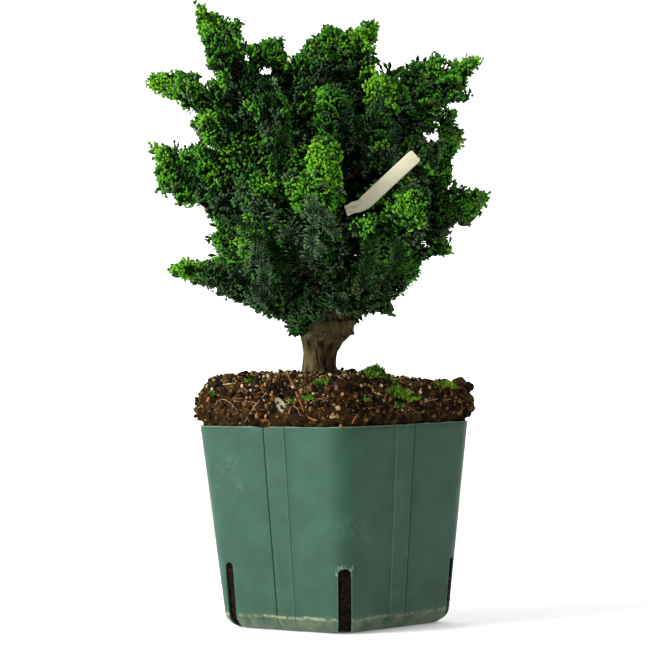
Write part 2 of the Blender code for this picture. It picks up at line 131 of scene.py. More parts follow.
# The crown's outline from the front, as corners (x, z) in millimetres in the plane of the trunk
CROWN_OUTLINE = (
    (-77, 368), (-68, 363), (-65, 367), (-61, 357), (-54, 359), (-47, 352), (-51, 350), (-48, 342),
    (-27, 345), (-23, 332), (-15, 337), (-9, 349), (0, 352), (10, 348), (21, 355), (33, 354), (27, 333),
    (32, 333), (39, 324), (48, 333), (56, 332), (59, 338), (71, 332), (83, 334), (92, 331), (80, 318),
    (85, 313), (83, 306), (72, 307), (60, 298), (78, 301), (82, 296), (80, 278), (75, 274), (75, 266),
    (71, 266), (72, 260), (93, 252), (93, 240), (84, 237), (82, 231), (74, 236), (69, 231), (74, 219),
    (68, 216), (60, 217), (52, 212), (51, 202), (42, 193), (33, 191), (38, 179), (34, 179), (30, 184),
    (20, 181), (7, 169), (-23, 169), (-28, 172), (-32, 180), (-44, 180), (-46, 186), (-62, 192),
    (-62, 196), (-67, 192), (-67, 201), (-72, 195), (-72, 200), (-84, 200), (-97, 209), (-94, 213),
    (-88, 214), (-87, 219), (-79, 214), (-71, 221), (-69, 218), (-65, 219), (-75, 228), (-64, 232),
    (-74, 239), (-73, 245), (-76, 248), (-84, 246), (-84, 251), (-89, 248), (-93, 259), (-97, 254),
    (-103, 255), (-105, 265), (-100, 273), (-107, 280), (-107, 284), (-102, 286), (-88, 287),
    (-81, 282), (-77, 285), (-79, 293), (-85, 296), (-76, 302), (-84, 302), (-88, 310), (-102, 313),
    (-108, 320), (-102, 327), (-92, 328), (-90, 331), (-86, 325), (-75, 325), (-76, 319), (-70, 317),
    (-71, 337), (-75, 347), (-79, 347), (-76, 350),
)
# Gaps through which the background shows, in the same plane: middle, half-widths (millimetres)
CROWN_GAPS = (
    (60.5, 285, 8.0, 4.4), (-37.7, 326, 7.2, 3.4), (-47, 334, 4.0, 3.3), (69, 327, 2.6, 2.6),
    (-31.5, 309, 2.2, 2.0), (-20.5, 300, 1.8, 1.2), (-56.5, 206, 1.0, 2.0), (65, 222, 1.3, 1.3),
    (53, 228, 1.0, 1.0), (-58.5, 198, 1.0, 1.0),
)
# The dark hollow in the front of the crown, beside the label
HOLLOW_MIDDLE = Vector((0.0155, -0.056, 0.2640))
HOLLOW_RADII = Vector((0.0090, 0.036, 0.0170))
# The lower part of the label, which no leaf hides in the front view, in the same plane: its ends and half-width
LABEL_LINE = ((8.0, 242.0), (35.0, 260.5))
LABEL_HALF = 4.8
LABEL_FRONT = -0.048
# Where young growth and light show in the front view, in the same plane: middle, half-widths, how young and lit in
# percent. Their brightness is partly painted light.
YOUNG_AND_LIT_PATCHES = (
    (-72, 360, 6, 7, 88), (-58, 355, 8, 5, 52), (-72, 349, 5, 7, 60), (-56, 345, 8, 8, 40),
    (-68, 331, 5, 6, 68), (-67, 321, 6, 7, 60), (-61, 310, 6, 5, 88), (-100, 323, 8, 7, 92),
    (-87, 321, 8, 7, 60), (-88, 312, 8, 5, 66), (-77, 319, 4, 7, 36), (-79, 298, 6, 4, 92),
    (-73, 292, 5, 6, 62), (-66, 300, 5, 4, 42), (-101, 282, 6, 5, 90), (-89, 281, 8, 5, 58),
    (-99, 266, 6, 8, 62), (-88, 253, 7, 5, 58), (-76, 279, 6, 5, 60), (-74, 268, 5, 6, 92),
    (-64, 272, 7, 6, 62), (-50, 285, 10, 4, 84), (-42, 295, 5, 4, 72), (-40, 271, 5, 7, 80),
    (-46, 258, 4, 4, 62), (-63, 262, 8, 6, 40), (-40, 242, 6, 4, 88), (-57, 245, 4, 3, 76),
    (-57, 233, 7, 6, 86), (-69, 228, 8, 4, 46), (-58, 223, 7, 4, 64), (-72, 214, 6, 5, 84),
    (-90, 211, 8, 5, 86), (-51, 218, 12, 2, 66), (-34, 338, 8, 7, 50), (-41, 341, 5, 5, 70),
    (0, 345, 12, 6, 66), (5, 338, 7, 4, 78), (-13, 338, 7, 5, 46), (25, 350, 6, 4, 88),
    (20, 345, 5, 4, 58), (-12, 311, 6, 4, 84), (-1, 314, 6, 5, 56), (9, 315, 5, 4, 62),
    (16, 312, 3, 4, 86), (31, 323, 7, 8, 92), (38, 313, 4, 5, 84), (25, 312, 6, 5, 52),
    (51, 329, 7, 5, 76), (61, 330, 5, 5, 56), (84, 330, 8, 4, 90), (74, 324, 6, 5, 58),
    (64, 310, 8, 4, 66), (69, 307, 5, 4, 86), (81, 313, 5, 5, 36), (26, 296, 5, 4, 64),
    (27, 288, 4, 5, 84), (45, 295, 8, 4, 70), (46, 301, 5, 3, 50), (16, 291, 4, 2, 78),
    (74, 296, 7, 4, 44), (77, 287, 5, 4, 40), (74, 279, 7, 4, 52), (24, 278, 5, 7, 36),
    (-4, 280, 9, 6, 100), (-17, 274, 8, 6, 86), (-3, 266, 9, 9, 76), (-18, 260, 8, 6, 74),
    (2, 249, 5, 5, 66), (-13, 252, 7, 5, 56), (48, 247, 5, 7, 96), (37, 250, 8, 7, 68),
    (28, 244, 7, 5, 60), (20, 240, 5, 4, 66), (59, 267, 9, 5, 50), (48, 263, 4, 3, 72),
    (88, 250, 7, 6, 66), (73, 253, 8, 6, 54), (86, 240, 5, 5, 58), (65, 236, 5, 5, 54),
    (72, 220, 5, 4, 62), (20, 224, 4, 3, 72), (31, 215, 5, 3, 84), (49, 210, 5, 8, 64),
    (37, 201, 2, 3, 66), (-23, 228, 2, 4, 92), (37, 181, 4, 3, 36),
)
# Painted light and shade: how young and lit the growth looks between the patches, darker, and at the crown's rim,
# brighter.
YOUTH_AND_LIGHT_BETWEEN = 0.21
RIM_PAINTED_LIGHT = 0.50
# Where the front view looks past the outer sprays into the dark, in the same plane: middle, half-widths.
# Fewer sprays grow there, and those are painted dark as painted shade.
DARK_PATCHES = (
    (-52, 305, 13, 5), (-39, 302, 6, 6), (-21, 319, 8, 5), (10, 328, 9, 4), (54, 304, 5, 4),
    (-30, 250, 5, 12), (-28, 213, 5, 18), (16, 262, 8, 13), (-1, 188, 18, 6), (42, 233, 9, 4),
    (57, 247, 5, 5), (11, 226, 6, 6), (65, 260, 4, 5), (-32, 279, 4, 8), (-62, 256, 6, 4),
    (-58, 298, 8, 3),
    (8, 207, 5, 9), (25, 195, 6, 5), (-41, 198, 5, 4), (-53, 332, 5, 8), (-46, 315, 6, 6), (-14, 326, 8, 4),
    (-76, 309, 6, 3), (-85, 270, 5, 4), (-27, 196, 4, 12), (8, 238, 6, 6), (34, 222, 6, 5),
)
# Plumes that stand out in the front view: the mass each belongs to, its root and tip as (x, y, z), its
# half-width, and how young and lit it is, partly painted light; the low plumes under the crown are painted dark as
# painted shade.
PLUMES = (
    ("mass_left_top", (-66, -6, 331), (-76, -6, 366), 7, 0.66),
    ("mass_left_top", (-67, -8, 334), (-52, -8, 355), 7, 0.60),
    ("mass_top", (3, 0, 324), (0, -2, 355), 9, 0.60),
    ("mass_top", (-10, 0, 320), (-14, -2, 346), 7, 0.50),
    ("mass_top", (8, 0, 324), (11, -2, 351), 8, 0.60),
    ("mass_left_middle", (-70, -6, 266), (-78, -6, 284), 8, 0.60),
    ("mass_left_middle", (-84, -8, 250), (-100, -8, 268), 7, 0.60),
    ("mass_right_low", (66, -4, 240), (92, -6, 252), 9, 0.60),
    ("mass_right_low", (66, -4, 236), (88, -6, 240), 7, 0.55),
    ("mass_top_peak", (14, 4, 330), (29, 3, 356), 6, 0.60),
    ("mass_top_tuft", (-31, 0, 330), (-36, -2, 349), 10, 0.60),
    ("mass_top_tuft", (-31, 0, 332), (-27, -2, 348), 7, 0.50),
    ("mass_left_upper", (-78, -4, 318), (-106, -4, 321), 8, 0.80),
    ("mass_left_upper", (-78, -4, 312), (-88, -6, 328), 6, 0.60),
    ("mass_right_dome", (60, 0, 306), (64, -4, 336), 7, 0.62),
    ("mass_right_top", (74, 0, 315), (90, 0, 332), 5, 0.75),
    ("mass_right_upper", (66, 0, 296), (82, 0, 312), 6, 0.55),
    ("mass_right_middle", (56, -4, 252), (72, -4, 268), 6, 0.55),
    ("mass_left_middle", (-84, -6, 246), (-99, -6, 259), 5, 0.60),
    ("mass_left_middle", (-84, -6, 262), (-104, -6, 284), 6, 0.62),
    ("mass_left_tuft", (-70, -6, 300), (-80, -6, 289), 5, 0.55),
    ("mass_left_low", (-84, -8, 210), (-96, -8, 211), 5, 0.60),
    ("mass_front_left_low", (-6, -22, 198), (-25, -27, 172), 8, 0.12),
    ("mass_front_low", (-8, -22, 192), (-18, -32, 169), 8, 0.08),
    ("mass_front_low", (-2, -24, 200), (2, -34, 186), 7, 0.02),
    ("mass_front_right_low", (6, -20, 204), (17, -28, 191), 7, 0.04),
    ("mass_front_right_low", (24, -14, 200), (35, -20, 181), 7, 0.20),
    ("mass_back_low", (4, 16, 196), (16, 26, 176), 9, 0.05),
    ("mass_back_low", (-8, 16, 196), (-20, 26, 176), 9, 0.05),
    ("mass_right_base", (14, 0, 200), (30, 0, 188), 8, 0.10),
    ("mass_left_base", (-16, 0, 196), (-34, 0, 180), 8, 0.10),
    ("mass_left_lower", (-66, -10, 205), (-62, -14, 192), 4, 0.30),
    ("mass_left_lower", (-70, -10, 208), (-74, -14, 198), 4, 0.30),
    ("mass_left_lower", (-60, -8, 205), (-54, -14, 190), 4, 0.25),
    ("mass_front_right", (32, -60, 236), (55, -70, 251), 7, 0.66),
    ("mass_front_right", (16, -62, 232), (26, -68, 237), 4, 0.45),
    ("mass_front_plume", (-5, -62, 244), (-5, -74, 285), 12, 0.66),
    ("mass_front_plume", (-12, -62, 240), (-23, -70, 262), 7, 0.60),
)
# Long fronds that lie open to the front view: mass, foot and tip as (x, z) in the same plane
FRONDS = (
    ("mass_front_plume", (-15, 186), (-9, 254), 1.20, "underside"),
    ("mass_front_plume", (-13, 214), (-10, 250), 0.40, "frosted"),
    ("mass_front_plume", (-9, 246), (2, 232), 0.34, "frosted"),
    ("mass_front_plume", (-12, 226), (-5, 218), 0.24, "frosted"),
    ("mass_front_left", (-24, 196), (-40, 232), 0.60, "shaded"),
    ("mass_front_left_low", (-34, 188), (-58, 206), 0.50, "underside"),
    ("mass_front_left_low", (-26, 178), (-42, 214), 0.62, "underside"),
    ("mass_front_left_low", (-38, 200), (-49, 222), 0.40, "frosted"),
    ("mass_front_left", (-40, 212), (-48, 238), 0.45, "underside"),
    ("mass_front_right_low", (18, 196), (24, 226), 0.50, "shaded"),
    ("mass_front_right_low", (32, 200), (44, 220), 0.45, "shaded"),
    ("mass_front_upper_right", (34, 262), (33, 284), 0.42, "underside"),
    ("mass_front_upper_left", (-26, 264), (-32, 288), 0.42, "shaded"),
)
FOLIAGE_GROUPS = {
    "foliage_top": ("mass_top", "mass_top_peak", "mass_top_tuft"),
    "foliage_left_upper": ("mass_left_top", "mass_left_upper", "mass_left_tuft"),
    "foliage_left_lower": ("mass_left_middle", "mass_left_low", "mass_left_lower", "mass_left_base"),
    "foliage_right_upper": ("mass_right_dome", "mass_right_top", "mass_right_upper"),
    "foliage_right_lower": (
        "mass_right_middle", "mass_right_low", "mass_right_lower", "mass_right_base",
    ),
    "foliage_front_upper": (
        "mass_front_upper", "mass_front_upper_left", "mass_front_upper_right", "mass_front_right",
    ),
    "foliage_front_middle": ("mass_front_plume", "mass_front_left"),
    "foliage_front_lower": ("mass_front_left_low", "mass_front_right_low", "mass_front_low"),
    "foliage_back_upper": ("mass_back_top", "mass_back_left_upper", "mass_back_right_upper"),
    "foliage_back_middle": ("mass_back_left", "mass_back_middle", "mass_back_right"),
    "foliage_back_lower": ("mass_back_left_low", "mass_back_low", "mass_back_right_low"),
}

# Leaf shades, as linear colours, and the three shades of each kind of spray: its tips, its middle, its foot.
# The darker foot of each spray is painted shade.
SHADES = {
    "lime": (0.150, 0.390, 0.015),
    "bright": (0.086, 0.305, 0.012),
    "fresh": (0.048, 0.215, 0.011),
    "green": (0.030, 0.140, 0.010),
    "mid": (0.019, 0.080, 0.009),
    "deep": (0.010, 0.037, 0.006),
    "dark": (0.005, 0.013, 0.004),
    "bloom_pale": (0.125, 0.210, 0.100),
    "bloom": (0.048, 0.094, 0.042),
    "bloom_deep": (0.017, 0.036, 0.016),
    "olive": (0.056, 0.074, 0.024),
    "olive_deep": (0.019, 0.026, 0.009),
    "russet": (0.105, 0.060, 0.020),
}
SPRAY_SHADES = {
    "new": ("lime", "bright", "mid"),
    "young": ("bright", "fresh", "deep"),
    "grown": ("fresh", "mid", "deep"),
    "full": ("green", "deep", "dark"),
    "shaded": ("mid", "deep", "dark"),
    # Painted shade: the inner kind is near black, for the shade deep in the crown.
    "inner": ("deep", "dark", "dark"),
    "underside": ("bloom", "bloom_deep", "dark"),
    "frosted": ("bloom_pale", "bloom", "bloom_deep"),
    "aged": ("olive", "olive_deep", "dark"),
    "dry": ("russet", "olive_deep", "dark"),
}
SHADE_NAMES = sorted(SHADES)
LOBE_FORMS = ("body", "tip")


class PotSettings(PropertyGroup):
    height: FloatProperty(
        name="Height", description="From the underside to the rim", default=POT_BOX[1].z, unit="LENGTH"
    )
    mouth_side: FloatProperty(name="Mouth", description="Side at the rim", default=0.1200, unit="LENGTH")
    base_side: FloatProperty(name="Base", description="Side at the foot", default=0.0990, unit="LENGTH")
    corner_radius: FloatProperty(
        name="Corner", description="Radius of the upright corners", default=0.0150, unit="LENGTH"
    )
    wall: FloatProperty(name="Wall", description="Thickness", default=0.0011, unit="LENGTH")
    strip_width: FloatProperty(
        name="Strip", description="Width of the raised strips", default=0.0160, unit="LENGTH"
    )
    strip_height: FloatProperty(
        name="Strip height", description="How far a strip stands out", default=0.0005, unit="LENGTH"
    )
    waver: FloatProperty(
        name="Waver", description="How far the thin wall bows in and out", default=0.0005, unit="LENGTH"
    )
    colour: FloatVectorProperty(
        name="Plastic", description="Colour of the plastic", subtype="COLOR", size=3,
        default=(0.0280, 0.0835, 0.0525), min=0.0, max=1.0,
    )


class SoilSettings(PropertyGroup):
    grain: FloatProperty(
        name="Grain", description="Fineness of the modelled surface", default=0.0008, unit="LENGTH"
    )
    relief: FloatProperty(name="Relief", description="Height of the clods", default=0.0034, unit="LENGTH")
    crumbs: IntProperty(name="Crumbs", description="Loose crumbs on the top", default=9000)
    colour: FloatVectorProperty(
        name="Compost", description="Colour of the damp compost", subtype="COLOR", size=3,
        default=(0.036, 0.0195, 0.0066), min=0.0, max=1.0,
    )


class WoodSettings(PropertyGroup):
    grain: FloatProperty(
        name="Grain", description="Fineness of the modelled bark", default=0.0007, unit="LENGTH"
    )
    relief: FloatProperty(
        name="Relief", description="Depth of the bark's furrows", default=0.0009, unit="LENGTH"
    )
    colour: FloatVectorProperty(
        name="Bark", description="Colour of the bark", subtype="COLOR", size=3,
        default=(0.105, 0.074, 0.032), min=0.0, max=1.0,
    )


class FoliageSettings(PropertyGroup):
    seed: IntProperty(name="Seed", description="Seed of the branching rule", default=11)
    spray_length: FloatProperty(
        name="Spray", description="Length of a usual spray", default=0.0140, unit="LENGTH"
    )
    joint: FloatProperty(
        name="Joint", description="Length of shoot between two side shoots", default=0.0025, unit="LENGTH"
    )
    shoot_width: FloatProperty(
        name="Shoot", description="Width of a shoot with its scale leaves", default=0.0020, unit="LENGTH"
    )
    area_per_cluster: FloatProperty(
        name="Area per cluster", description="Surface that one cluster covers", default=0.000095,
        unit="AREA", precision=6,
    )


class LabelSettings(PropertyGroup):
    width: FloatProperty(name="Width", description="Width of the label", default=0.0082, unit="LENGTH")
    top: FloatVectorProperty(
        name="Top", description="Middle of its upper end", subtype="XYZ", size=3,
        default=(0.0492, -0.0560, 0.2720),
    )
    crease: FloatVectorProperty(
        name="Crease", description="Where it is folded", subtype="XYZ", size=3,
        default=(0.0185, -0.0520, 0.2445),
    )
    end: FloatVectorProperty(
        name="End", description="Middle of its crumpled end", subtype="XYZ", size=3,
        default=(0.0085, -0.0500, 0.2410),
    )
    colour: FloatVectorProperty(
        name="Card", description="Colour of the card", subtype="COLOR", size=3,
        default=(0.69, 0.65, 0.46), min=0.0, max=1.0,
    )


class StageSettings(PropertyGroup):
    sky: FloatProperty(name="Sky", description="Strength of the even white light", default=0.235)
    key: FloatProperty(name="Key", description="Power of the large light at the left", default=66.0)
    fill: FloatProperty(name="Fill", description="Power of the light above", default=10.0)
    glow: FloatProperty(name="Glow", description="How brightly the white paper shines", default=0.28)
    floor_colour: FloatVectorProperty(
        name="Floor", description="Colour of the floor", subtype="COLOR", size=3,
        default=(0.90, 0.90, 0.90), min=0.0, max=1.0,
    )


# Shader building


class Field:
    """A socket of a material's nodes that can be reckoned with as a number."""

    def __init__(self, finish, socket):
        self.finish = finish
        self.socket = socket

    def _math(self, operation, *values):
        return self.finish.node("Math", {"operation": operation}, values)

    def __add__(self, other):
        return self._math("ADD", self, other)

    def __radd__(self, other):
        return self._math("ADD", other, self)

    def __sub__(self, other):
        return self._math("SUBTRACT", self, other)

    def __rsub__(self, other):
        return self._math("SUBTRACT", other, self)

    def __mul__(self, other):
        return self._math("MULTIPLY", self, other)

    def __rmul__(self, other):
        return self._math("MULTIPLY", other, self)

    def __truediv__(self, other):
        return self._math("DIVIDE", self, other)

    def __abs__(self):
        return self._math("ABSOLUTE", self)

    def least(self, other):
        return self._math("MINIMUM", self, other)

    def rise(self, low, high):
        """Nought under one value, one over the other, and smooth between; high may be the lesser."""
        if high < low:
            return 1 - self.rise(high, low)
        settings = {"interpolation_type": "SMOOTHSTEP", "clamp": True}
        return self.finish.node("MapRange", settings, {"Value": self, "From Min": low, "From Max": high})


class Finish:
    """One material of the model, with a Principled shader, built node by node."""

    def __init__(self, name, colour, roughness, specular=0.5):
        self.material = bpy.data.materials.new(name)
        self.material.use_nodes = True
        self.tree = self.material.node_tree
        self.shader = self.tree.nodes["Principled BSDF"]
        self.shader.inputs["Base Color"].default_value = (*colour, 1.0)
        self.shader.inputs["Roughness"].default_value = roughness
        self.shader.inputs["Specular IOR Level"].default_value = specular
        self.coords = None

    def node(self, kind, settings=None, inputs=None, output=0):
        """Adds a node, sets it up, then fills its sockets with numbers, colours or other fields."""
        made = self.tree.nodes.new("ShaderNode" + kind)
        for key, value in (settings or {}).items():
            setattr(made, key, value)
        pairs = inputs.items() if isinstance(inputs, dict) else enumerate(inputs or ())
        for key, value in pairs:
            if isinstance(value, Field):
                self.tree.links.new(value.socket, made.inputs[key])
            else:
                made.inputs[key].default_value = value
        return Field(self, made.outputs[output])

    def place(self, scale=(1, 1, 1), turn=0.0):
        """The surface's own coordinates, scaled and turned about Z."""
        if self.coords is None:
            self.coords = self.node("TexCoord", output="Object")
        inputs = {"Vector": self.coords, "Rotation": (0, 0, turn), "Scale": scale}
        return self.node("Mapping", {"vector_type": "POINT"}, inputs)

    def noise(self, scale, detail=3.0, roughness=0.55, stretch=(1, 1, 1), turn=0.0):
        where = self.place(stretch, turn)
        inputs = {"Vector": where, "Scale": scale, "Detail": detail, "Roughness": roughness}
        return self.node("TexNoise", None, inputs)

    def axes(self, turn=0.0):
        """The three coordinates as numbers."""
        split = self.node("SeparateXYZ", None, {"Vector": self.place((1, 1, 1), turn)})
        outputs = split.socket.node.outputs
        return [Field(self, outputs[key]) for key in ("X", "Y", "Z")]

    def mix(self, share, first, second):
        """A colour between two."""
        made = self.tree.nodes.new("ShaderNodeMix")
        made.data_type = "RGBA"
        for index, value in ((0, share), (6, first), (7, second)):
            if isinstance(value, Field):
                self.tree.links.new(value.socket, made.inputs[index])
            else:
                made.inputs[index].default_value = value if index == 0 else (*value, 1.0)
        return Field(self, made.outputs[2])

    def feed(self, socket, field):
        self.tree.links.new(field.socket, self.shader.inputs[socket])

    def bump(self, height, depth, strength=1.0):
        inputs = {"Height": height, "Distance": depth, "Strength": strength}
        self.feed("Normal", self.node("Bump", None, inputs))


# Modelling helpers


def put_down():
    """Leaves edit mode and deselects everything."""
    if bpy.context.object is not None and bpy.context.object.mode != "OBJECT":
        bpy.ops.object.mode_set(mode="OBJECT")
    bpy.ops.object.select_all(action="DESELECT")


def take_up(thing, *others):
    """Selects these objects alone, the first of them active."""
    put_down()
    for each in (thing, *others):
        each.select_set(True)
    bpy.context.view_layer.objects.active = thing
    return thing


def named(name):
    """Names the object that an operator has just made."""
    made = bpy.context.object
    made.name = name
    made.data.name = name
    return made


def edit(thing, everything=True):
    """Opens one object in edit mode, with all or nothing of it selected."""
    take_up(thing)
    bpy.ops.object.mode_set(mode="EDIT")
    bpy.ops.mesh.select_all(action="SELECT" if everything else "DESELECT")


def pick(thing, test, kind="faces"):
    """In edit mode, selects only the faces, edges or vertices that pass a test."""
    modes = {"faces": "FACE", "edges": "EDGE", "verts": "VERT"}
    bpy.ops.mesh.select_all(action="DESELECT")
    bpy.ops.mesh.select_mode(type=modes[kind])
    shape = bmesh.from_edit_mesh(thing.data)
    for part in getattr(shape, kind):
        if test(part):
            part.select_set(True)
    shape.select_flush_mode()
    bmesh.update_edit_mesh(thing.data)


def close_edit():
    bpy.ops.object.mode_set(mode="OBJECT")


def worked(thing, kind, **settings):
    """Adds a modifier, sets it up and applies it."""
    take_up(thing)
    made = thing.modifiers.new(kind.title(), kind)
    for key, value in settings.items():
        setattr(made, key, value)
    bpy.ops.object.modifier_apply(modifier=made.name)
    return thing


def fixed(thing):
    """Takes the object's place, turn and size into its mesh."""
    take_up(thing)
    bpy.ops.object.transform_apply(location=True, rotation=True, scale=True)
    return thing


def joined(name, things):
    """Joins objects into the first of them."""
    if len(things) > 1:
        take_up(*things)
        bpy.ops.object.join()
    things[0].name = name
    things[0].data.name = name
    return things[0]


def points_of(thing):
    flat = np.zeros(len(thing.data.vertices) * 3)
    thing.data.vertices.foreach_get("co", flat)
    return flat.reshape(-1, 3)


def move_points(thing, points):
    thing.data.vertices.foreach_set("co", np.asarray(points, dtype=np.float32).ravel())
    thing.data.update()


def displaced(thing, height):
    """Moves each vertex along its normal by a height worked out from its place and normal."""
    normals = [vertex.normal.copy() for vertex in thing.data.vertices]
    for vertex, normal in zip(thing.data.vertices, normals):
        vertex.co += normal * height(vertex.co, normal)
    thing.data.update()
    return thing


def wear(thing, *materials):
    thing.data.materials.clear()
    for each in materials:
        thing.data.materials.append(each)


def hand_over(thing, slot, *nodes):
    """Attaches a finished piece to the frame's root body and hides the nodes it stands for. Its slot is not used."""
    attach(thing, "root")
    if nodes:
        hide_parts(*nodes)
    put_down()


def node_copy(name, *nodes):
    """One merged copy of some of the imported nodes."""
    copies = []
    for node in nodes:
        mesh = frame["nodes"][node].data.copy()
        copy = bpy.data.objects.new(name, mesh)
        bpy.context.scene.collection.objects.link(copy)
        copies.append(copy)
    made = joined(name, copies)
    edit(made)
    bpy.ops.mesh.remove_doubles(threshold=0.00001)
    close_edit()
    return made


def tree_of(*things):
    """One search tree over the triangles of several meshes."""
    vertices, faces = [], []
    for thing in things:
        start = len(vertices)
        vertices += [vertex.co.copy() for vertex in thing.data.vertices]
        faces += [[start + i for i in face.vertices] for face in thing.data.polygons]
    return BVHTree.FromPolygons(vertices, faces)


def photo_ray(pixel):
    """The direction in which the photograph's camera sees a pixel."""
    right = pixel[0] - PHOTO_SIDE / 2
    up = PHOTO_SIDE / 2 - pixel[1]
    turn = CAMERA_ROLL
    across = right * math.cos(turn) + up * math.sin(turn)
    rise = up * math.cos(turn) - right * math.sin(turn)
    return Vector((across, FOCAL_PIXELS, rise)).normalized()


def seen_on(tree, pixel):
    """Where the photograph's camera meets a surface at a pixel, and the surface's normal there."""
    place, normal, _, _ = tree.ray_cast(CAMERA_PLACE, photo_ray(pixel))
    if place is None:
        ray = photo_ray(pixel)
        level = CAMERA_PLACE + ray * (-CAMERA_PLACE.y / ray.y)
        place, normal, _, _ = tree.find_nearest(level)
    return place, normal


# Copies of small shapes, laid out by a node group and made one mesh


def scatter_group(stock):
    """A node group that sets a copy of one of the stock's objects on each point, and makes them real."""
    group = bpy.data.node_groups.new("scatter_" + stock.name, "GeometryNodeTree")
    group.interface.new_socket(name="Points", in_out="INPUT", socket_type="NodeSocketGeometry")
    group.interface.new_socket(name="Copies", in_out="OUTPUT", socket_type="NodeSocketGeometry")
    start = group.nodes.new("NodeGroupInput")
    end = group.nodes.new("NodeGroupOutput")
    source = group.nodes.new("GeometryNodeCollectionInfo")
    source.inputs["Collection"].default_value = stock
    source.inputs["Separate Children"].default_value = True
    source.inputs["Reset Children"].default_value = True
    copies = group.nodes.new("GeometryNodeInstanceOnPoints")
    copies.inputs["Pick Instance"].default_value = True
    real = group.nodes.new("GeometryNodeRealizeInstances")
    group.links.new(start.outputs["Points"], copies.inputs["Points"])
    group.links.new(source.outputs["Instances"], copies.inputs["Instance"])
    wanted = (("turn", "FLOAT_VECTOR", "Rotation"), ("size", "FLOAT_VECTOR", "Scale"), ("form", "INT", "Instance Index"))
    for name, kind, socket in wanted:
        read = group.nodes.new("GeometryNodeInputNamedAttribute")
        read.data_type = kind
        read.inputs["Name"].default_value = name
        group.links.new(read.outputs["Attribute"], copies.inputs[socket])
    group.links.new(copies.outputs["Instances"], real.inputs["Geometry"])
    group.links.new(real.outputs["Geometry"], end.inputs["Copies"])
    return group


def turns_of(along, across, normal):
    """Euler turns that bring X, Y and Z onto three rows of unit vectors."""
    tilt = np.arcsin(np.clip(-along[:, 2], -1.0, 1.0))
    roll = np.arctan2(across[:, 2], normal[:, 2])
    heading = np.arctan2(along[:, 1], along[:, 0])
    return np.stack([roll, tilt, heading], axis=1)


def scattered(name, group, places, turns, sizes, forms):
    """One mesh of copies at these places."""
    mesh = bpy.data.meshes.new(name)
    mesh.vertices.add(len(places))
    mesh.vertices.foreach_set("co", np.asarray(places, dtype=np.float32).ravel())
    for key, values in (("turn", turns), ("size", sizes)):
        layer = mesh.attributes.new(key, "FLOAT_VECTOR", "POINT")
        layer.data.foreach_set("vector", np.asarray(values, dtype=np.float32).ravel())
    layer = mesh.attributes.new("form", "INT", "POINT")
    layer.data.foreach_set("value", np.asarray(forms, dtype=np.int32))
    made = bpy.data.objects.new(name, mesh)
    bpy.context.scene.collection.objects.link(made)
    take_up(made)
    layout = made.modifiers.new("Copies", "NODES")
    layout.node_group = group
    bpy.ops.object.modifier_apply(modifier=layout.name)
    return made


def new_stock(name, things):
    """Moves the shapes that are copied into a collection of their own, in the order of their names."""
    stock = bpy.data.collections.new(name)
    bpy.context.scene.collection.children.link(stock)
    for thing in things:
        for holder in list(thing.users_collection):
            holder.objects.unlink(thing)
        stock.objects.link(thing)
    return stock


def clear_stock(stock):
    for thing in list(stock.objects):
        bpy.data.objects.remove(thing)
    bpy.data.collections.remove(stock)


def strands(name, runs, finish, sides=0):
    """Tubes along runs of (point, radius) pairs, as one mesh."""
    curve = bpy.data.curves.new(name, "CURVE")
    curve.dimensions = "3D"
    curve.bevel_depth = 1.0
    curve.bevel_resolution = sides
    curve.use_fill_caps = True
    for run in runs:
        spline = curve.splines.new("POLY")
        spline.points.add(len(run) - 1)
        for point, (place, radius) in zip(spline.points, run):
            point.co = (*place, 1.0)
            point.radius = radius
    made = bpy.data.objects.new(name, curve)
    bpy.context.scene.collection.objects.link(made)
    take_up(made)
    bpy.ops.object.convert(target="MESH")
    bpy.ops.object.shade_smooth()
    made = named(name)
    wear(made, finish)
    return made


def smooth_run(points, steps):
    """Points along a smooth curve through a few given ones."""
    points = [Vector(p) for p in points]
    padded = [2 * points[0] - points[1], *points, 2 * points[-1] - points[-2]]
    run = []
    for a, b, c, d in zip(padded, padded[1:], padded[2:], padded[3:]):
        for k in range(steps):
            t = k / steps
            run.append(
                0.5 * ((2 * b) + (c - a) * t + (2 * a - 5 * b + 4 * c - d) * t * t
                       + (3 * b - a - 3 * c + d) * t ** 3)
            )
    run.append(points[-1])
    return run


# Pot


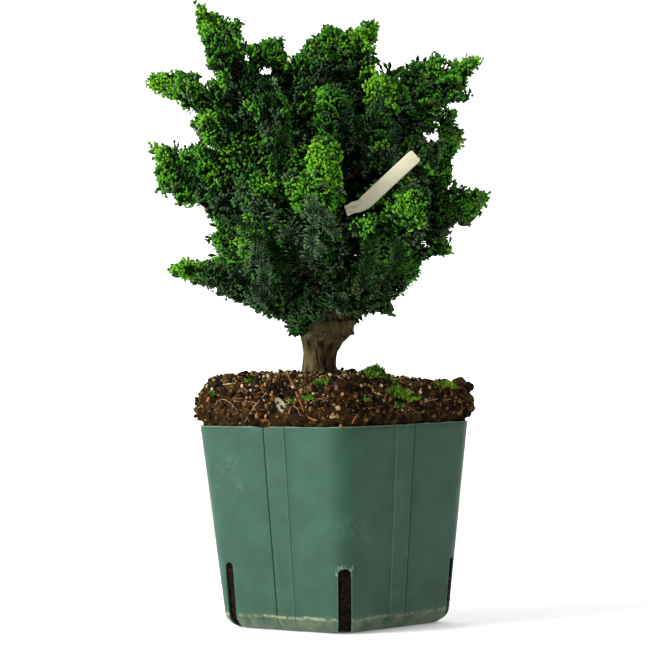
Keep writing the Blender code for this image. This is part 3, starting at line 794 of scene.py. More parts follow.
def pot_finish(settings):
    """Green plastic with a broken lime line, chalk at the slits, scuffs and soil stains, lighter along the rim, and a
    painted highlight and a painted shade line along the edges of each strip.
    """
    colour = tuple(settings.colour)
    finish = Finish("pot_plastic", colour, 0.45, 0.20)
    across_x, across_y, height = finish.axes(POT_TURN * -1)
    mottle = finish.noise(60, 4)
    fine = finish.noise(700, 3)
    streaks = finish.noise(1.0, 3, 0.6, (900, 900, 28))
    scratches = finish.noise(1.0, 2, 0.5, (120, 120, 1900))
    scuffs = (streaks.rise(0.62, 0.74) + scratches.rise(0.70, 0.76)) * finish.noise(45, 2).rise(0.45, 0.65)
    wander = finish.noise(90, 3) * 0.0030
    lime_height = height + wander - 0.0100
    patches = finish.noise(300, 3).rise(0.36, 0.55) * finish.noise(55, 3).rise(0.26, 0.50)
    left = 1 - across_x.rise(-0.004, 0.004) * 0.45
    lime = (1 - abs(lime_height).rise(0.0002, 0.0013)) * patches * left
    film = (1 - height.rise(0.006, 0.012)) * finish.noise(130, 4).rise(0.30, 0.66)
    slit = abs(across_x)
    slit_top = abs(height - 0.0365)
    chalk = (1 - slit.rise(0.0040, 0.0056)) * (1 - slit_top.rise(0.0016, 0.0040))
    chalk = chalk * finish.noise(600, 3).rise(0.50, 0.60)
    edge = (1 - slit.rise(0.0040, 0.0046)) * (1 - height.rise(0.0380, 0.0386))
    # Lighter along the top of the rim.
    rim_lightening = height.rise(0.1176, 0.1182)
    stain = height.rise(0.098, 0.1185) * finish.noise(150, 4).rise(0.50, 0.66)
    specks = finish.noise(380, 2).rise(0.70, 0.76)
    tinted = finish.mix(mottle.rise(0.3, 0.7), [c * 0.86 for c in colour], [c * 1.10 for c in colour])
    # Painted highlight along each strip's bead and painted shade along its groove, as the light from the left would
    # fall on them.
    along, across, _ = finish.axes(math.radians(-45) - POT_TURN)
    size = 1 - (1 - settings.base_side / settings.mouth_side) * (1 - height / settings.height)
    bead = (STRIP_SHIFT + settings.strip_width / 2) * size
    groove = (STRIP_SHIFT - settings.strip_width / 2) * size
    strip_light_and_shade_lines = []
    for place, thin in ((bead, 0.0002), (groove, 0.0005)):
        on_sides = abs(along * (1 - 2 * across.rise(-0.001, 0.001)) + place)
        on_others = abs(across * (1 - 2 * along.rise(-0.001, 0.001)) + place)
        strip_light_and_shade_lines.append(1 - on_sides.least(on_others).rise(thin, thin * 2.2))
    haze = finish.noise(26, 4, 0.6).rise(0.56, 0.74) * finish.noise(420, 3).rise(0.35, 0.65)
    worn_and_groove_shaded = finish.mix(scuffs * 0.35 + haze * 0.28, tinted, (0.13, 0.21, 0.16))
    # Painted highlight: a pale green line on each bead.
    bead_highlighted = finish.mix(strip_light_and_shade_lines[0] * 0.50, worn_and_groove_shaded, (0.140, 0.240, 0.175))
    # Painted shade: a near black line in each groove.
    worn_and_groove_shaded = finish.mix(strip_light_and_shade_lines[1] * 0.85, bead_highlighted, (0.007, 0.022, 0.014))
    filmed = finish.mix(film * 0.50, worn_and_groove_shaded, (0.19, 0.20, 0.115))
    limed = finish.mix(lime * 0.66, filmed, (0.40, 0.37, 0.24))
    edged = finish.mix(edge * 0.30 + rim_lightening * 0.55, limed, (0.20, 0.30, 0.22))
    chalked = finish.mix(chalk * 0.55, edged, (0.50, 0.50, 0.42))
    stained = finish.mix(stain * 0.28, chalked, (0.060, 0.055, 0.030))
    speckled = finish.mix(specks * 0.45, stained, (0.045, 0.038, 0.022))
    finish.feed("Base Color", speckled)
    finish.feed("Roughness", 0.40 + 0.25 * scuffs + 0.35 * chalk + 0.2 * lime + 0.08 * fine)
    finish.bump(fine * 0.5 + streaks * 0.5 + scratches * 0.3, 0.00006, 0.5)
    return finish.material


def pot_outline(settings):
    """The rounded square at the rim. Each side's strip has a groove at one edge and a bead at the other."""
    side = settings.mouth_side
    inner = side / 2 - settings.corner_radius
    half = settings.strip_width / 2
    outline = []
    for number in range(4):
        facing = Matrix.Rotation(math.radians(-45 + 90 * number) + POT_TURN, 2)
        grooved_first = number in (1, 3)
        middle = STRIP_SHIFT * (1 if grooved_first else -1)
        low, high = middle - half, middle + half
        along = [(-inner + (low + inner) * share / 4, 0) for share in range(1, 4)]
        along += strip_edge(low, 0, 1, grooved_first)
        along += [(low + 2 * half * share / 5, 1) for share in range(1, 5)]
        along += strip_edge(high, 1, 0, not grooved_first)
        along += [(high + (inner - high) * share / 4, 0) for share in range(1, 4)]
        for place, lift in along:
            outline.append(facing @ Vector((side / 2 + lift * settings.strip_height, place)))
        for step in range(CORNER_STEPS + 1):
            angle = math.radians(90) * step / CORNER_STEPS
            arc = Vector((math.cos(angle), math.sin(angle))) * settings.corner_radius
            outline.append(facing @ (Vector((inner, inner)) + arc))
    return outline


def strip_edge(place, before, after, grooved):
    """Four points across one edge of a strip: its place along the side and how far it stands out."""
    e = STRIP_EDGE
    if grooved:
        return [(place - 1.5 * e, before), (place - 0.6 * e, -0.9), (place + 0.6 * e, -0.9), (place + 1.5 * e, after)]
    return [(place - e, before), (place - e / 3, 1.6), (place + e / 3, 1.6), (place + e, after)]


def raise_rings(levels):
    """Extrudes the selected face up through (height, size) levels, each size a share of the rim's."""
    last_height, last_size = levels[0]
    for height, size in levels[1:]:
        rise = (0, 0, height - last_height)
        bpy.ops.mesh.extrude_region_move(TRANSFORM_OT_translate={"value": rise})
        factor = size / last_size
        bpy.ops.transform.resize(value=(factor, factor, 1), center_override=(0, 0, 0))
        last_height, last_size = height, size


def pot_levels(settings):
    taper = (settings.mouth_side - settings.base_side) / settings.height
    levels = []
    for step in range(6):
        angle = math.radians(90) * step / 5
        height = HEEL_RADIUS * (1 - math.cos(angle))
        side = settings.base_side + taper * height - 2 * HEEL_RADIUS * (1 - math.sin(angle))
        levels.append((height, side / settings.mouth_side))
    for step in range(1, 31):
        height = HEEL_RADIUS + (settings.height - HEEL_RADIUS) * step / 30
        side = settings.base_side + taper * height
        levels.append((height, side / settings.mouth_side))
    return levels


def slit_cutter(number):
    """A round-topped bar that stands through the wall near a corner of the pot."""
    turn, shift, width, height = SLITS[number]
    diagonal = math.radians(90 * number) + POT_TURN
    near, far = -SLIT_UNDER_FLOOR, 0.060
    put_down()
    bpy.ops.mesh.primitive_cube_add(size=1)
    cutter = named("slit_cutter")
    cutter.scale = (far - near, width, height + 0.004)
    cutter.location = ((near + far) / 2, shift, height / 2 - 0.002)
    fixed(cutter)
    edit(cutter)
    top = height - 0.001
    pick(cutter, lambda e: min(v.co.z for v in e.verts) > top and abs(e.verts[0].co.x - e.verts[1].co.x) > 0.01, "edges")
    bpy.ops.mesh.bevel(offset=width * 0.48, segments=7, affect="EDGES")
    close_edit()
    cutter.rotation_euler = (0, 0, diagonal + math.radians(turn))
    cutter.location = Vector((math.cos(diagonal), math.sin(diagonal), 0)) * SLIT_PIVOT
    return fixed(cutter)


def build_pot(settings):
    """The fine pot: thin wavering walls with raised strips, and a slit at each corner."""
    outline = pot_outline(settings)
    levels = pot_levels(settings)
    put_down()
    bpy.ops.mesh.primitive_circle_add(vertices=len(outline), radius=1.0, fill_type="NGON")
    pot = named("pot_shell")
    foot = levels[0][1]
    move_points(pot, [(p.x * foot, p.y * foot, 0.0) for p in outline])
    edit(pot)
    raise_rings(levels)
    bpy.ops.mesh.select_all(action="SELECT")
    bpy.ops.mesh.normals_make_consistent(inside=False)
    pick(pot, lambda f: f.normal.z > 0.9 and f.calc_center_median().z > settings.height * 0.9)
    bpy.ops.mesh.delete(type="FACE")
    close_edit()
    worked(pot, "SOLIDIFY", thickness=settings.wall, offset=-1.0, use_even_offset=True, use_rim=True)
    for number in range(4):
        cutter = slit_cutter(number)
        worked(pot, "BOOLEAN", operation="DIFFERENCE", solver="EXACT", object=cutter)
        bpy.data.objects.remove(cutter)
    waver_walls(pot, settings)
    worked(pot, "BEVEL", width=0.00022, segments=2, limit_method="ANGLE", angle_limit=math.radians(50))
    take_up(pot)
    bpy.ops.object.shade_smooth_by_angle(angle=math.radians(28))
    wear(pot, pot_finish(settings))
    hand_over(pot, "pot", "pot")


def waver_walls(pot, settings):
    """Bows the walls in and out a little, more towards the rim, and lets the rim rise and dip."""
    points = points_of(pot)
    for point in points:
        share = max(0.0, point[2] / settings.height)
        heading = math.atan2(point[1], point[0])
        reach = math.hypot(point[0], point[1])
        around = Vector((math.cos(heading) * 2.2, math.sin(heading) * 2.2, point[2] * 18))
        bow = noise.noise(around) * settings.waver * share
        point[0] -= math.cos(heading) * abs(bow) * min(1.0, reach / 0.03)
        point[1] -= math.sin(heading) * abs(bow) * min(1.0, reach / 0.03)
        dip = noise.noise(Vector((math.cos(heading) * 5, math.sin(heading) * 5, 3.0)))
        point[2] -= abs(dip) * 0.0012 * share ** 8
    move_points(pot, points)


# Root ball


def soil_finish(settings):
    """Dark damp compost with brown fibres and fine grit."""
    colour = tuple(settings.colour)
    finish = Finish("compost", colour, 0.9, 0.04)
    clods = finish.noise(150, 5, 0.65)
    grit = finish.noise(1100, 3, 0.6)
    fibre = finish.noise(420, 4, 0.7, (1, 1, 2.6))
    dark = finish.mix(clods.rise(0.35, 0.65), [c * 0.15 for c in colour], [c * 1.6 for c in colour])
    brown = finish.mix(fibre.rise(0.54, 0.66) * 0.8, dark, (0.115, 0.060, 0.018))
    tan = finish.mix(grit.rise(0.62, 0.70) * 0.6, brown, (0.230, 0.150, 0.062))
    shade = finish.noise(75, 3).rise(0.46, 0.58)
    tan = finish.mix(shade * 0.60, tan, (0.006, 0.004, 0.002))
    finish.feed("Base Color", tan)
    finish.feed("Roughness", 0.78 + 0.2 * clods)
    finish.bump(grit * 0.5 + fibre, 0.0008, 1.0)
    return finish.material


def slit_shade_soil_finish():
    """Compost in the shade of the slits, painted near black as painted shade, with a few specks."""
    finish = Finish("compost_deep", (0.006, 0.004, 0.003), 0.95, 0.1)
    specks = finish.noise(800, 3, 0.6)
    dark = finish.mix(finish.noise(380, 4).rise(0.4, 0.62), (0.002, 0.0015, 0.001), (0.014, 0.008, 0.005))
    finish.feed("Base Color", finish.mix(specks.rise(0.66, 0.72), dark, (0.120, 0.052, 0.024)))
    finish.bump(specks, 0.001, 1.0)
    return finish.material


def lump_finish(name, colour, spread=0.45, roughness=0.85):
    """A small thing's colour, paler and darker in patches."""
    finish = Finish(name, colour, roughness, 0.08)
    patches = finish.noise(320, 4, 0.65)
    low = [c * (1 - spread) for c in colour]
    high = [min(1.0, c * (1 + spread)) for c in colour]
    finish.feed("Base Color", finish.mix(patches.rise(0.30, 0.70), low, high))
    finish.bump(finish.noise(1400, 3), 0.00018, 0.7)
    return finish.material


def soil_height(place, settings):
    """Rounded clods and crumbs, from large to small, with cracks between them."""
    height = noise.noise(place / 0.0034) * settings.relief * 0.35
    for size, share in ((0.0105, 0.95), (0.0050, 0.70), (0.0026, 0.42)):
        near, _ = noise.voronoi(place / size)
        height += (0.40 - near[0]) * settings.relief * share
    return height


def build_soil(settings):
    """The root ball: a fine uneven top, and its plain lower part where the slits show it, painted near black as
    painted shade.
    """
    cut = POT_BOX[1].z - 0.0075
    upper = node_copy("compost_top", "root_ball")
    edit(upper)
    bpy.ops.mesh.bisect(plane_co=(0, 0, cut), plane_no=(0, 0, 1), clear_inner=True, use_fill=True)
    close_edit()
    worked(upper, "REMESH", mode="VOXEL", voxel_size=settings.grain)
    displaced(upper, lambda place, normal: soil_height(place, settings) * min(1.0, max(0.0, (place.z - cut) / 0.006)))
    lower = node_copy("compost_foot", "root_ball")
    edit(lower)
    bpy.ops.mesh.bisect(plane_co=(0, 0, cut + 0.001), plane_no=(0, 0, 1), clear_outer=True, use_fill=True)
    close_edit()
    wear(upper, soil_finish(settings))
    # Painted shade: the lower compost is near black where the slits show it.
    wear(lower, slit_shade_soil_finish())
    soil = joined("compost", [upper, lower])
    take_up(soil)
    bpy.ops.object.shade_smooth()
    hand_over(soil, "soil", "root_ball")
    return soil


def lump_shape(name, seed, squash, fineness=1):
    """A crumb: a small ball knocked out of round."""
    put_down()
    bpy.ops.mesh.primitive_ico_sphere_add(subdivisions=fineness, radius=0.5)
    lump = named(name)
    draw = random.Random(seed)
    edit(lump)
    bpy.ops.transform.resize(value=(1.0, draw.uniform(0.62, 0.9), squash), center_override=(0, 0, 0))
    close_edit()
    points = points_of(lump)
    for point in points:
        point *= draw.uniform(0.78, 1.12)
    move_points(lump, points)
    return lump


CRUMB_COLOURS = {
    "crumb_1_black": (0.010, 0.006, 0.003),
    "crumb_2_brown": (0.064, 0.035, 0.012),
    "crumb_3_fibre": (0.160, 0.088, 0.026),
    "crumb_4_tan": (0.370, 0.255, 0.110),
    "crumb_5_orange": (0.420, 0.165, 0.038),
    "crumb_6_cream": (0.560, 0.500, 0.300),
}
CRUMB_SHARES_TOP = (0.16, 0.18, 0.26, 0.22, 0.08, 0.10)
CRUMB_SHARES_SIDE = (0.40, 0.22, 0.22, 0.08, 0.07, 0.01)
LUMP_FORMS = 4
# Clods and stones that the front view shows: pixel, size in pixels, colour
SHOWN_LUMPS = (
    ((230, 378), 15, 1), ((219, 382), 9, 0), ((351, 373), 13, 0), ((362, 376), 9, 1), ((460, 382), 18, 1),
    ((471, 388), 12, 0), ((478, 397), 13, 1), ((474, 407), 14, 1), ((466, 413), 12, 0), ((195, 402), 10, 0),
    ((197, 410), 9, 1), ((199, 393), 9, 0), ((263, 420), 5, 4), ((257, 387), 5, 3), ((301, 391), 5, 3),
    ((281, 394), 4, 3), ((338, 408), 5, 3), ((337, 416), 5, 2), ((207, 386), 4, 5), ((212, 389), 4, 5),
    ((217, 385), 4, 5), ((210, 392), 3, 5), ((245, 374), 9, 0), ((404, 412), 8, 1), ((424, 416), 8, 0),
    ((442, 414), 9, 1), ((383, 418), 8, 0), ((300, 376), 8, 1), ((322, 392), 9, 0), ((238, 396), 8, 1),
)


def build_crumbs(settings, tree):
    """Loose crumbs, grit and bits of fibre over the top and sides of the root ball."""
    draw = random.Random(5)
    lumps = []
    for name, colour in CRUMB_COLOURS.items():
        finish = lump_finish(name, colour)
        for form in range(LUMP_FORMS):
            fine = form == LUMP_FORMS - 1
            lump = lump_shape(f"{name}_{form}", form + 1, 0.6 + 0.1 * form, 2 if fine else 1)
            wear(lump, finish)
            lumps.append(lump)
    stock = new_stock("crumb_stock", lumps)
    low, high = SOIL_BOX
    rows = []
    for pixel, size, tint in SHOWN_LUMPS:
        place, normal = seen_on(tree, pixel)
        size *= PIXEL_SIZE
        turns = [draw.uniform(-0.4, 0.4) for _ in range(3)]
        rows.append((*(place - normal * size * 0.12), *turns, *[size * 1.1] * 3, tint * LUMP_FORMS + LUMP_FORMS - 1))
    while len(rows) < settings.crumbs:
        if draw.random() < 0.60:
            start = Vector((draw.uniform(low.x, high.x), draw.uniform(low.y, high.y), high.z + 0.02))
            line = Vector((0, 0, -1))
        else:
            turn = draw.uniform(0, math.tau)
            line = Vector((-math.cos(turn), -math.sin(turn), draw.uniform(-0.2, 0.0)))
            start = Vector((0, 0, draw.uniform(POT_BOX[1].z, high.z))) - line * 0.2
        place, normal, _, _ = tree.ray_cast(start, line)
        if place is None or place.z < POT_BOX[1].z + 0.0008:
            continue
        size = 0.0007 + 0.0036 * draw.random() ** 4.0
        turns = [draw.uniform(0, math.tau) for _ in range(3)]
        shares = CRUMB_SHARES_TOP if normal.z > 0.5 else CRUMB_SHARES_SIDE
        tint = draw.choices(range(len(shares)), shares)[0]
        if noise.noise(place / 0.011) > 0.15 and tint < 3:
            tint = 0
        if tint > 2:
            size *= 0.7
        form = tint * LUMP_FORMS + draw.randrange(LUMP_FORMS - 1)
        rows.append((*(place + normal * size * 0.30), *turns, *[size] * 3, form))
    rows = np.array(rows)
    crumbs = scattered("crumbs", scatter_group(stock), rows[:, 0:3], rows[:, 3:6], rows[:, 6:9], rows[:, 9])
    clear_stock(stock)
    hand_over(crumbs, "soil")


# Litter on the root ball

PIXEL_SIZE = 0.00057
# Roots, straw and twigs: colour, radius (mm), how far they stand off, and their way in the front view
LITTER_RUNS = (
    ("root_orange", 0.70, 0.4, ((287, 372), (293, 385), (300, 400), (307, 416), (319, 421))),
    ("root_orange", 0.40, 0.3, ((352, 423), (356, 416), (363, 409), (371, 408), (379, 406))),
    ("root_tan", 0.42, 0.3, ((267, 392), (257, 404), (250, 413), (245, 422))),
    ("root_tan", 0.32, 0.3, ((257, 404), (253, 402), (249, 402))),
    ("root_tan", 0.30, 1.0, ((289, 412), (293, 407), (298, 409), (301, 415), (305, 416))),
    ("root_tan", 0.28, 0.6, ((417, 408), (424, 403), (431, 400), (445, 399), (457, 402), (468, 403), (482, 397), (492, 389), (499, 383))),
    ("root_tan", 0.25, 0.5, ((395, 412), (405, 406), (412, 409), (420, 413))),
    ("root_tan", 0.25, 0.5, ((215, 405), (222, 399), (231, 403), (238, 411))),
    ("root_dark", 0.80, 0.5, ((259, 374), (266, 373), (273, 372))),
    ("root_dark", 0.35, 0.4, ((330, 398), (338, 392), (349, 393), (356, 399))),
    ("root_dark", 0.35, 0.4, ((440, 405), (447, 411), (456, 409))),
    ("straw", 0.50, 0.6, ((222, 386), (232, 384), (243, 383))),
    ("straw", 0.22, 0.5, ((310, 403), (318, 399), (328, 401))),
    ("straw", 0.22, 0.5, ((372, 392), (383, 396), (391, 393))),
    ("stem_red", 0.22, 1.2, ((279, 381), (280, 377), (279, 374))),
    ("stem_red", 0.22, 1.2, ((285, 380), (286, 375), (287, 372))),
)
LITTER_COLOURS = {
    "root_orange": (0.270, 0.110, 0.036),
    "root_tan": (0.300, 0.190, 0.085),
    "root_dark": (0.034, 0.020, 0.011),
    "straw": (0.480, 0.390, 0.190),
    "stem_red": (0.200, 0.045, 0.020),
}
# Moss: pixel, radius in pixels, blades, and whether it is bright
MOSS_TUFTS = (
    ((323, 384), 7, 240, 0), ((309, 399), 6, 170, 1), ((333, 372), 7, 220, 0), ((367, 378), 9, 360, 0),
    ((375, 374), 13, 800, 1), ((383, 378), 8, 300, 0), ((395, 392), 8, 300, 1), ((402, 397), 10, 480, 1),
    ((410, 400), 8, 300, 1), ((399, 406), 8, 260, 1), ((392, 384), 6, 120, 0), ((436, 386), 5, 110, 0),
    ((447, 386), 9, 320, 1), ((250, 381), 5, 90, 0), ((292, 402), 4, 70, 1), ((365, 400), 4, 70, 0),
    ((213, 396), 4, 70, 0),
)


def along_soil(tree, pixels, stand_off):
    """A run over the soil under some pixels of the front view; past the soil it keeps its depth."""
    depth = -0.06
    places = []
    for pixel in pixels:
        ray = photo_ray(pixel)
        place, normal, _, _ = tree.ray_cast(CAMERA_PLACE, ray)
        if place is None:
            place = CAMERA_PLACE + ray * ((depth - CAMERA_PLACE.y) / ray.y)
        else:
            depth = place.y
            place = place + normal * stand_off
        places.append(place)
    return smooth_run(places, 5)


def build_litter(tree):
    """Roots, straw, moss, a dead leaf and two seedlings on the root ball, and root hairs at a slit."""
    for name, colour in LITTER_COLOURS.items():
        runs = []
        for kind, radius, stand_off, pixels in LITTER_RUNS:
            if kind == name:
                run = along_soil(tree, pixels, stand_off / 1000)
                last = len(run) - 1
                runs.append([(p, radius / 1000 * (1 - 0.5 * k / last)) for k, p in enumerate(run)])
        if name == "root_tan":
            runs += root_hairs()
        if name == "straw":
            runs.append(hair_arch())
        hand_over(strands(name, runs, lump_finish(name, colour, 0.35), 1), "soil")
    hand_over(strands("fibres", soil_fibres(tree), lump_finish("fibre", (0.270, 0.135, 0.045), 0.6)), "soil")
    build_moss(tree)
    build_leaves(tree)


def soil_fibres(tree):
    """Short fine roots and fibres that lie all over the compost."""
    draw = random.Random(12)
    low, high = SOIL_BOX
    runs = []
    while len(runs) < 620:
        place = Vector((draw.uniform(low.x, high.x), draw.uniform(low.y, high.y), high.z + 0.02))
        line = Vector((0, 0, -1))
        if draw.random() < 0.6:
            turn = draw.uniform(0, math.tau)
            line = Vector((-math.cos(turn), -math.sin(turn), draw.uniform(-0.2, 0.0)))
            place = Vector((0, 0, draw.uniform(POT_BOX[1].z + 0.002, high.z))) - line * 0.2
        place, normal, _, _ = tree.ray_cast(place, line)
        if place is None or place.z < POT_BOX[1].z + 0.0012:
            continue
        heading = normal.cross(Vector([draw.gauss(0, 1) for _ in range(3)])).normalized()
        bend = normal.cross(heading) * draw.gauss(0.0, 0.35)
        step = draw.uniform(0.0010, 0.0024)
        run = []
        for k in range(4):
            near, outward, _, _ = tree.find_nearest(place)
            run.append((near + outward * (0.0003 + 0.0006 * draw.random()), draw.uniform(0.00009, 0.00017)))
            place = near + heading * step
            heading = (heading + bend).normalized()
        runs.append(run)
    return runs


def root_hairs():
    """Fine roots that have grown out of the right-hand slit."""
    draw = random.Random(8)
    heading = POT_TURN + math.radians(SLITS[0][0])
    out = Vector((math.cos(heading), math.sin(heading), 0))
    across = Vector((-out.y, out.x, 0))
    pivot = Vector((math.cos(POT_TURN), math.sin(POT_TURN), 0)) * SLIT_PIVOT
    runs = []
    for k in range(7):
        start = pivot + out * 0.0105 + across * draw.uniform(-0.002, 0.002)
        start.z = draw.uniform(0.010, 0.026)
        end = start + out * draw.uniform(0.0025, 0.0045) + Vector((0, 0, draw.uniform(-0.004, 0.003)))
        bend = (start + end) / 2 + out * 0.001 + across * draw.uniform(-0.0015, 0.0015)
        runs.append([(p, 0.00016) for p in smooth_run([start, bend, end], 4)])
    return runs


def hair_arch():
    """A dry fibre that arches over the soil behind the trunk."""
    places = []
    for pixel in ((347, 366), (350, 354), (357, 344), (364, 341), (371, 346), (376, 360)):
        ray = photo_ray(pixel)
        places.append(CAMERA_PLACE + ray * ((0.012 - CAMERA_PLACE.y) / ray.y))
    return [(p, 0.00011) for p in smooth_run(places, 4)]


def build_moss(tree):
    """Tufts of moss, each blade a slender cone."""
    draw = random.Random(4)
    blades = []
    for name, colour in (("moss_1", (0.030, 0.080, 0.010)), ("moss_2", (0.190, 0.370, 0.026))):
        put_down()
        bpy.ops.mesh.primitive_cone_add(vertices=3, radius1=0.5, radius2=0.1, depth=1.0, location=(0, 0, 0.5))
        blade = fixed(named(name))
        edit(blade)
        bpy.ops.transform.rotate(value=math.radians(90), orient_axis="Y", center_override=(0, 0, 0))
        close_edit()
        points = points_of(blade)
        points[:, 0] = np.abs(points[:, 0])
        move_points(blade, points)
        wear(blade, lump_finish(name, colour, 0.4))
        blades.append(blade)
    stock = new_stock("moss_stock", blades)
    rows = []
    for pixel, radius, count, bright in MOSS_TUFTS:
        middle, normal = seen_on(tree, pixel)
        radius *= PIXEL_SIZE
        for _ in range(count):
            turn, out = draw.uniform(0, math.tau), math.sqrt(draw.random())
            lean = Vector((math.cos(turn), math.sin(turn), 0)) * out
            place, _, _, _ = tree.find_nearest(middle + lean * radius)
            place = place + normal * radius * 0.75 * (1 - out * out) * draw.random()
            heading = (normal * 0.6 + Vector((0, 0, 0.6)) + lean * 0.9).normalized()
            heading += Vector([draw.gauss(0, 0.22) for _ in range(3)])
            tilt = math.asin(max(-1.0, min(1.0, -heading.normalized().z)))
            long = draw.uniform(0.0014, 0.0038) * (0.6 + radius * 60)
            turns = (draw.uniform(0, 3), tilt, math.atan2(heading.y, heading.x))
            tint = bright if draw.random() < 0.62 else 1 - bright
            rows.append((*place, *turns, long, 0.0007, 0.0007, tint))
    rows = np.array(rows)
    moss = scattered("moss", scatter_group(stock), rows[:, 0:3], rows[:, 3:6], rows[:, 6:9], rows[:, 9])
    clear_stock(stock)
    hand_over(moss, "foliage")


def small_leaf(name, place, normal, long, wide, turn, cup):
    """An oval leaf, cupped and laid on the soil."""
    put_down()
    bpy.ops.mesh.primitive_grid_add(x_subdivisions=6, y_subdivisions=4, size=1.0)
    leaf = named(name)
    points = points_of(leaf)
    for point in points:
        share = 1.0 - 0.75 * abs(2 * point[0]) ** 2.4
        point[:] = (point[0] * long, point[1] * wide * share, cup * (point[1] ** 2 + 0.5 * point[0] ** 2))
    move_points(leaf, points)
    leaf.rotation_euler = (normal.to_track_quat("Z", "X").to_matrix() @ Matrix.Rotation(turn, 3, "Z")).to_euler()
    leaf.location = place
    fixed(leaf)
    return worked(leaf, "SOLIDIFY", thickness=0.0003, offset=0.0)


def build_leaves(tree):
    """A pale dead leaf and the leaves of two seedlings."""
    place, normal = seen_on(tree, (283, 404))
    dead = small_leaf("dead_leaf", place + normal * 0.0012, normal, 0.0105, 0.0062, 0.3, 0.004)
    wear(dead, lump_finish("dead_leaf", (0.300, 0.270, 0.190), 0.3))
    hand_over(dead, "soil")
    leaves = []
    for k, pixel in enumerate(((277, 373), (280, 373), (285, 371), (289, 371), (287, 369))):
        place, normal = seen_on(tree, pixel)
        up = (normal + Vector((0, -0.6, 0.8))).normalized()
        leaves.append(small_leaf(f"seedling_{k}", place + Vector((0, 0, 0.0016)), up, 0.0024, 0.0020, k, 0.001))
    seedlings = joined("seedlings", leaves)
    wear(seedlings, lump_finish("seedling", (0.090, 0.200, 0.030), 0.25))
    hand_over(seedlings, "foliage")


# Wood


def bark_finish(settings):
    """Fibrous grey-brown bark with paler fibres and dark furrows, olive patches laid at random as painted highlights,
    and painted shade that makes it near black from 173 mm up, under the crown.
    """
    colour = tuple(settings.colour)
    finish = Finish("bark", colour, 0.85, 0.10)
    fibres = finish.noise(1.0, 4, 0.6, (620, 620, 85))
    furrows = finish.noise(1.0, 3, 0.6, (260, 260, 40))
    patches = finish.noise(110, 3)
    ridge = furrows.rise(0.40, 0.60)
    base = finish.mix(ridge, [c * 0.18 for c in colour], colour)
    grey = finish.mix(fibres.rise(0.52, 0.66) * 0.75, base, (0.220, 0.172, 0.088))
    # Painted highlights: olive patches, laid at random.
    olive = finish.mix(patches.rise(0.50, 0.66) * 0.55, grey, (0.125, 0.112, 0.036))
    _, _, height = finish.axes()
    # Painted shade: the bark goes near black from 173 to 191 mm up, under the crown.
    finish.feed("Base Color", finish.mix(height.rise(0.173, 0.191) * 0.93, olive, (0.010, 0.008, 0.005)))
    finish.bump(fibres + furrows, 0.0007, 0.9)
    return finish.material


def bark_height(place, settings):
    """Long furrows that climb the limb with a slight twist."""
    twist = place.z * 6.0
    x = place.x * math.cos(twist) - place.y * math.sin(twist)
    y = place.x * math.sin(twist) + place.y * math.cos(twist)
    long_grain = noise.noise(Vector((x * 330, y * 330, place.z * 42)))
    fine_grain = noise.noise(Vector((x * 900, y * 900, place.z * 110)))
    swell = noise.noise(place * 90)
    return settings.relief * (0.62 * long_grain + 0.30 * fine_grain + 0.35 * swell)


def build_wood(settings):
    """Trunk, leader and boughs as one limb system, melted together at the forks, with the bark's relief."""
    limbs = node_copy("bark_limbs", *WOOD_NODES)
    put_down()
    bpy.ops.mesh.primitive_cone_add(
        vertices=28, radius1=0.0158, radius2=0.0080, depth=0.026, location=(-0.0026, 0.0, 0.183)
    )
    shoulder = fixed(named("shoulder"))
    wood = joined("bark_limbs", [limbs, shoulder])
    worked(wood, "DISPLACE", strength=0.0004, mid_level=0.0)
    worked(wood, "REMESH", mode="VOXEL", voxel_size=settings.grain)
    worked(wood, "SMOOTH", factor=0.5, iterations=7)
    displaced(wood, lambda place, normal: bark_height(place, settings) - 0.0002)
    take_up(wood)
    bpy.ops.object.shade_smooth()
    wear(wood, bark_finish(settings))
    hand_over(wood, "bark", *WOOD_NODES)


# Foliage


class SprayRule:
    """How one kind of spray branches: its orders of shoots, their angle, their reach and its hollow."""

    def __init__(self, orders, angle, reach, outline, hollow, joints=1.0, length=1.0, slender=1.0):
        self.orders = orders
        self.angle = math.radians(angle)
        self.reach = reach
        self.outline = outline
        self.hollow = hollow
        self.joints = joints
        self.length = length
        self.slender = slender


def fan_outline(share):
    return 0.62 + 0.5 * math.sin(math.pi * min(1.0, share + 0.18)) - 0.35 * share


def finger_outline(share):
    return 0.95 - 0.45 * share


def even_outline(share):
    return 1.0 - 0.35 * share ** 3


SPRAY_RULES = {
    "fan": SprayRule(3, 46, (0.52, 0.50), fan_outline, 0.8),
    "finger": SprayRule(3, 40, (0.42, 0.42), finger_outline, 0.35),
    "tuft": SprayRule(3, 52, (0.74, 0.55), fan_outline, 1.2),
    "frond": SprayRule(2, 64, (0.20, 0.0), even_outline, 0.5, 0.42, 2.9, 0.50),
    "sprig": SprayRule(3, 48, (0.62, 0.55), fan_outline, 1.0, 1.0, 0.62),
    "twiggy": SprayRule(2, 46, (0.52, 0.50), fan_outline, 1.0, 1.6, 1.2, 1.4),
}
PATTERNS_PER_RULE = 10


